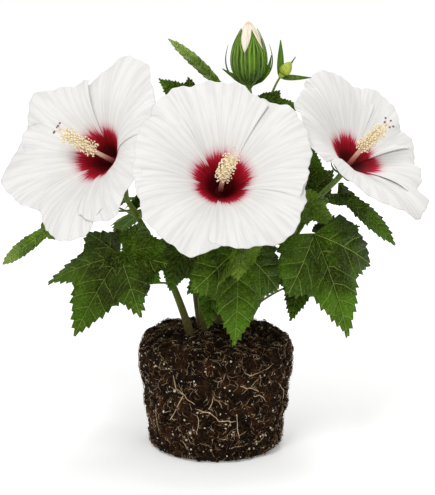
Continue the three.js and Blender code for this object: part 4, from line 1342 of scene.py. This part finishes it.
def ball_plug():
    """A round plug a little wider at the top, with a domed top and a flat underside."""
    height, top, base, rounding, dome = (BALL[key] for key in ("height", "top", "base", "rounding", "dome"))

    def corner(x, y, r, low, high, count):
        turn = np.radians(np.linspace(low, high, count))
        return list(zip(x + r * np.cos(turn), y + r * np.sin(turn)))

    bend = 1.6 * rounding
    under = [(r, 0) for r in np.linspace(2, base - rounding - 2, 14)]
    rise = np.linspace(0.02, 0.98, BALL["wall"])
    wall = zip(lerp(base, top, rise), lerp(rounding, height - 2 * rounding, rise))
    inner = np.linspace(top - bend - 1.5, 1.5, 46)
    crown = zip(inner, height - dome * (inner / (top - bend)) ** 2)
    profile = [(0, 0), *under, *corner(base - rounding, rounding, rounding, -90, 0, 12), *wall,
               *corner(top - bend, height - dome - bend, bend, 0, 90, 20), *crown, (0, height)]
    points, blocks, _ = lathe(profile, BALL["sides"])
    x, y, z = points.T
    outward = np.stack([x / top, y / top, z > height - 2 * dome], axis=-1)
    points = points + outward * (ball_lumps(points) * BALL["lumps"] * (z > 1))[:, None]
    heap = Heap()
    heap.add((points, blocks, None))
    return heap.mesh("plug")


def relief_tree():
    """Clods, crumbs and grit on the peat, fading out at the flat underside."""
    sizes = {"Clods": 0.0045, "Crumbs": 0.002, "Grit": 0.0008}

    def build(tree, given):
        place = tree.grown("InputPosition")()
        clods = tree.noise(place, RELIEF["clods"]) - 0.5
        crumbs = {"Vector": place, "Scale": RELIEF["crumbs"]}
        cells = tree.node("ShaderNodeTexVoronoi", None, crumbs)("Distance")
        grit = tree.noise(place, RELIEF["grit"]) - 0.5
        lift = clods * given("Clods") + (0.45 - cells) * given("Crumbs") + grit * given("Grit")
        above = tree.between(tree.parted(place)("Z"), *RELIEF["fade"])
        offset = tree.scaled(tree.grown("InputNormal")(), lift * above)
        return tree.grown("SetPosition", Geometry=given("Geometry"), Offset=offset)()

    return grown_tree("peat relief", sizes, build)


def strand_tree():
    """Fibres or roots strewn over a surface: each wanders, lies down on it and tapers to its ends."""
    sizes = {"Density": 1000.0, "Longest": 0.03, "Radius": 0.0003, "Wander": 0.006, "Lift": 0.0003, "Seed": 1,
             "Sides": 4, "Steps": 12}

    def build(tree, given):
        skin = given("Geometry")
        line = tree.grown("CurvePrimitiveLine", Start=(-0.5, 0, 0), End=(0.5, 0, 0))()
        line = tree.grown("ResampleCurve", Curve=line, Count=given("Steps"))()
        chance = tree.chance(0.0, 1.0, given("Seed"))
        spin = tree.spun((0, 0, 1), chance * STRAND["whirl"])
        laid = tree.strewn(given, line, spin, given("Longest") * lerp(STRAND["shortest"], 1.0, chance))
        lines = tree.grown("RealizeInstances", Geometry=laid)()
        noise = {"Vector": tree.grown("InputPosition")(), "Scale": STRAND["bends"], "Detail": 2.0}
        stray = tree.node("ShaderNodeTexNoise", None, noise)("Color")
        stray = tree.vector("SUBTRACT", {0: stray, 1: (0.5, 0.5, 0.5)})()
        bend = tree.scaled(stray, given("Wander") * 4)
        bent = tree.grown("SetPosition", Geometry=lines, Offset=bend)()
        nearest = tree.grown("Proximity", {"target_element": "FACES"}, Geometry=skin)("Position")
        normal = tree.grown("SampleNearestSurface", {"data_type": "FLOAT_VECTOR"}, Mesh=skin,
                            Value=tree.grown("InputNormal")())("Value")
        share = tree.grown("SplineParameter")("Factor")
        arch = share * (1 - share) * 4
        raised = tree.scaled(normal, given("Lift") * (arch * 1.6 - 0.6))
        settled = tree.grown("SetPosition", Geometry=bent, Position=tree.added(nearest, raised))()
        return tree.tapered(settled, given("Sides"), given("Radius"), lerp(STRAND["ends"], 1.0, arch))

    return grown_tree("strands", sizes, build)


def grain_tree():
    """Crumbs or specks pressed into a surface, each squashed and turned its own way."""
    sizes = {"Density": 1000.0, "Smallest": 0.0003, "Largest": 0.001, "Seed": 1}

    def build(tree, given):
        seed, least = given("Seed"), given("Smallest")
        grain = tree.grown("MeshIcoSphere", Radius=1.0, Subdivisions=1)()
        chance = tree.chance(0.0, 1.0, seed + 1)
        size = least + (given("Largest") - least) * chance * chance * chance
        squash = tree.chance(0.45, 1.0, seed + 2) * size
        spin = tree.spun((0.3, 0.2, 0.9), tree.chance(0.0, 6.28, seed + 3))
        return tree.strewn(given, grain, spin, tree.combined(size, squash, squash * 0.8))

    return grown_tree("grains", sizes, build)


def on_ball(turn, height):
    """A place on the ball's wall by its turn from the front and its height."""
    share = (height - BALL["rounding"]) / (BALL["height"] - 3 * BALL["rounding"])
    radius = lerp(BALL["base"], BALL["top"], min(share, 1))
    a = math.radians(turn)
    place = np.array([radius * math.sin(a), -radius * math.cos(a), height])
    outward = np.array([place[0], place[1], 0]) / BALL["top"]
    return place + outward * ball_lumps(place) * BALL["lumps"], heading(turn, 0)


def bold_roots():
    heap = Heap()
    for number, (radius, places) in enumerate(ROOTS.values()):
        fine = np.linspace(0, len(places) - 1, ROOT["steps"] * (len(places) - 1) + 1)
        turns, heights = (smooth_row(row, fine) for row in zip(*places))
        sway = sum(size * np.sin(fine * waves + shift * number) for size, waves, shift in ROOT["sway"])
        path = []
        for turn, height, shift in zip(turns, heights, sway):
            place, outward = on_ball(turn + shift / 2, height + shift)
            path.append(place + outward * (ROOT["lift"] + radius / 2))
        taper = 0.3 + 0.42 * np.sin(math.pi * (0.15 + 0.75 * shares(len(path))))
        heap.add(tube(path, radius * taper, ROOT["sides"]))
    heap.piece("bold_roots", ["pale_root"], "peat")


def root_ball():
    relief, strands, grains = relief_tree(), strand_tree(), grain_tree()
    peat = grow(relief, ball_plug(), "peat")
    fine = dict(longest=0.014, radius=0.0002, lift=0.002, sides=3, steps=8)
    kinds = {
        "brown_fibres": (strands, "brown_fibre", dict(density=30000.0, seed=4, **fine)),
        "pale_roots": (strands, "pale_root", dict(density=12000.0, wander=0.003, seed=9, **fine)),
        "crumbs": (grains, "peat_crumb", dict(density=45000.0, smallest=0.0006, largest=0.0032, seed=2)),
        "specks": (grains, "pale_speck", dict(density=14000.0, smallest=0.0003, largest=0.0021, seed=6)),
    }
    for name, (tree, finish, sizes) in kinds.items():
        mesh = grow(tree, peat, finish, **sizes)
        mesh.name = name
        piece_of(mesh, name, [], "peat")
    piece_of(peat, "peat_plug", [], "peat", "root_ball")
    bold_roots()


# Camera, floor and light


def aimed(thing, target):
    aim = Vector(target) - Vector(thing.location)
    thing.rotation_euler = aim.to_track_quat("-Z", "Y").to_euler()


def camera():
    data = bpy.data.cameras.new("camera")
    data.lens = VIEW["lens"]
    data.sensor_width = VIEW["sensor"]
    data.sensor_height = VIEW["sensor"]
    eye = bpy.data.objects.new("camera", data)
    eye.location = VIEW["place"]
    aimed(eye, VIEW["aim"])
    bpy.context.collection.objects.link(eye)
    bpy.context.scene.camera = eye


def lights():
    for name, lamp in LAMPS.items():
        data = bpy.data.lights.new(name, "AREA")
        data.size = lamp["size"]
        data.energy = lamp["power"]
        light = bpy.data.objects.new(name, data)
        light.location = lamp["place"]
        aimed(light, LIT)
        bpy.context.collection.objects.link(light)
    world = bpy.data.worlds.new("white room")
    world.use_nodes = True
    ground = world.node_tree.nodes["Background"]
    ground.inputs["Color"].default_value = (1, 1, 1, 1)
    ground.inputs["Strength"].default_value = WORLD
    bpy.context.scene.world = world
    bpy.context.scene.view_settings.view_transform = "Standard"


def floor():
    heap = Heap()
    side = FLOOR["side"]
    corners = [(-side, -side), (side, -side), (side, side), (-side, side)]
    points = np.array([(x, y, -FLOOR["below"]) for x, y in corners])
    heap.add((points, [np.array([[0, 1, 2, 3]])], None))
    mesh = heap.mesh("floor")
    mesh.materials.append(FINISH["pale_floor"])
    ground = bpy.data.objects.new("floor", mesh)
    bpy.context.collection.objects.link(ground)


peat_finish()
thread_finish("brown_fibre", ["20130a", "56361b", "a87c4c"])
thread_finish("pale_root", ["8a6c48", "c0a680", "e4d6bc"])
thread_finish("peat_crumb", ["060302", "160d07", "4a2e19"], 300)
thread_finish("pale_speck", ["9a8060", "d8ccb6", "f4efe4"], 300)
bark_finish()
stalk_finish()
leaf_finish("leaf_old", "182003", "334c04", "54861a", "98b058")
leaf_finish("leaf_grown", "1c2c03", "3c5c04", "649a22", "a8c064")
leaf_finish("leaf_young", "3c5c0e", "6c8c24", "9cbc50", "bcd080", 0.5)
leaf_under_finish()
petal_finish("petal_face", "ebeae7", "c8c5c6", 1.0)
petal_finish("petal_back", "eae8e4", "c8c5c1", 0.25)
column_finish()
grained_finish("pollen", ["f2dca6", "fdf0c8", "fffae6"], 420, 2600, 0.85, strength=0.8)
grained_finish("fresh_stigma", ["d3a29c", "ead0c0", "f4e6d4"], 700, 3000)
grained_finish("ripe_stigma", ["5d4a52", "84696f", "a38b88"], 700, 3000)
sepal_finish("sepal_green", "55802d", "7ea348", "a6c06c")
sepal_finish("bud_sepal", "284404", "547c10", "8cae3c")
sepal_finish("young_bud", "8ca41c", "b8c63c", "d8dc78")
sepal_finish("bract_green", "2c4808", "4a7010", "7c9c38")
furled_finish()
floor_finish()

camera()
lights()
floor()
root_ball()
for name in STEMS:
    bough(name)
brush = anther_tree()
bracts = bract_tree()
for name, bloom in BLOOMS.items():
    matrix = flower_frame(bloom["throat"], bloom["faces"], bloom["rise"])
    corolla(name, bloom, matrix)
    stamens(name, bloom, matrix, brush)
    calyx(name, bloom, matrix, bracts)
for name, bud in BUDS.items():
    matrix = flower_frame(bud["foot"], bud["turn"], bud["rise"])
    bud_cup(name, bud, matrix, bracts)
    if name == "large":
        furled_petals(bud, matrix)
stalks = Heap()
for name in MASSES:
    foliage(name, stalks)
stalks.piece("leaf_stalks", ["leaf_stalk"], "stem_green")
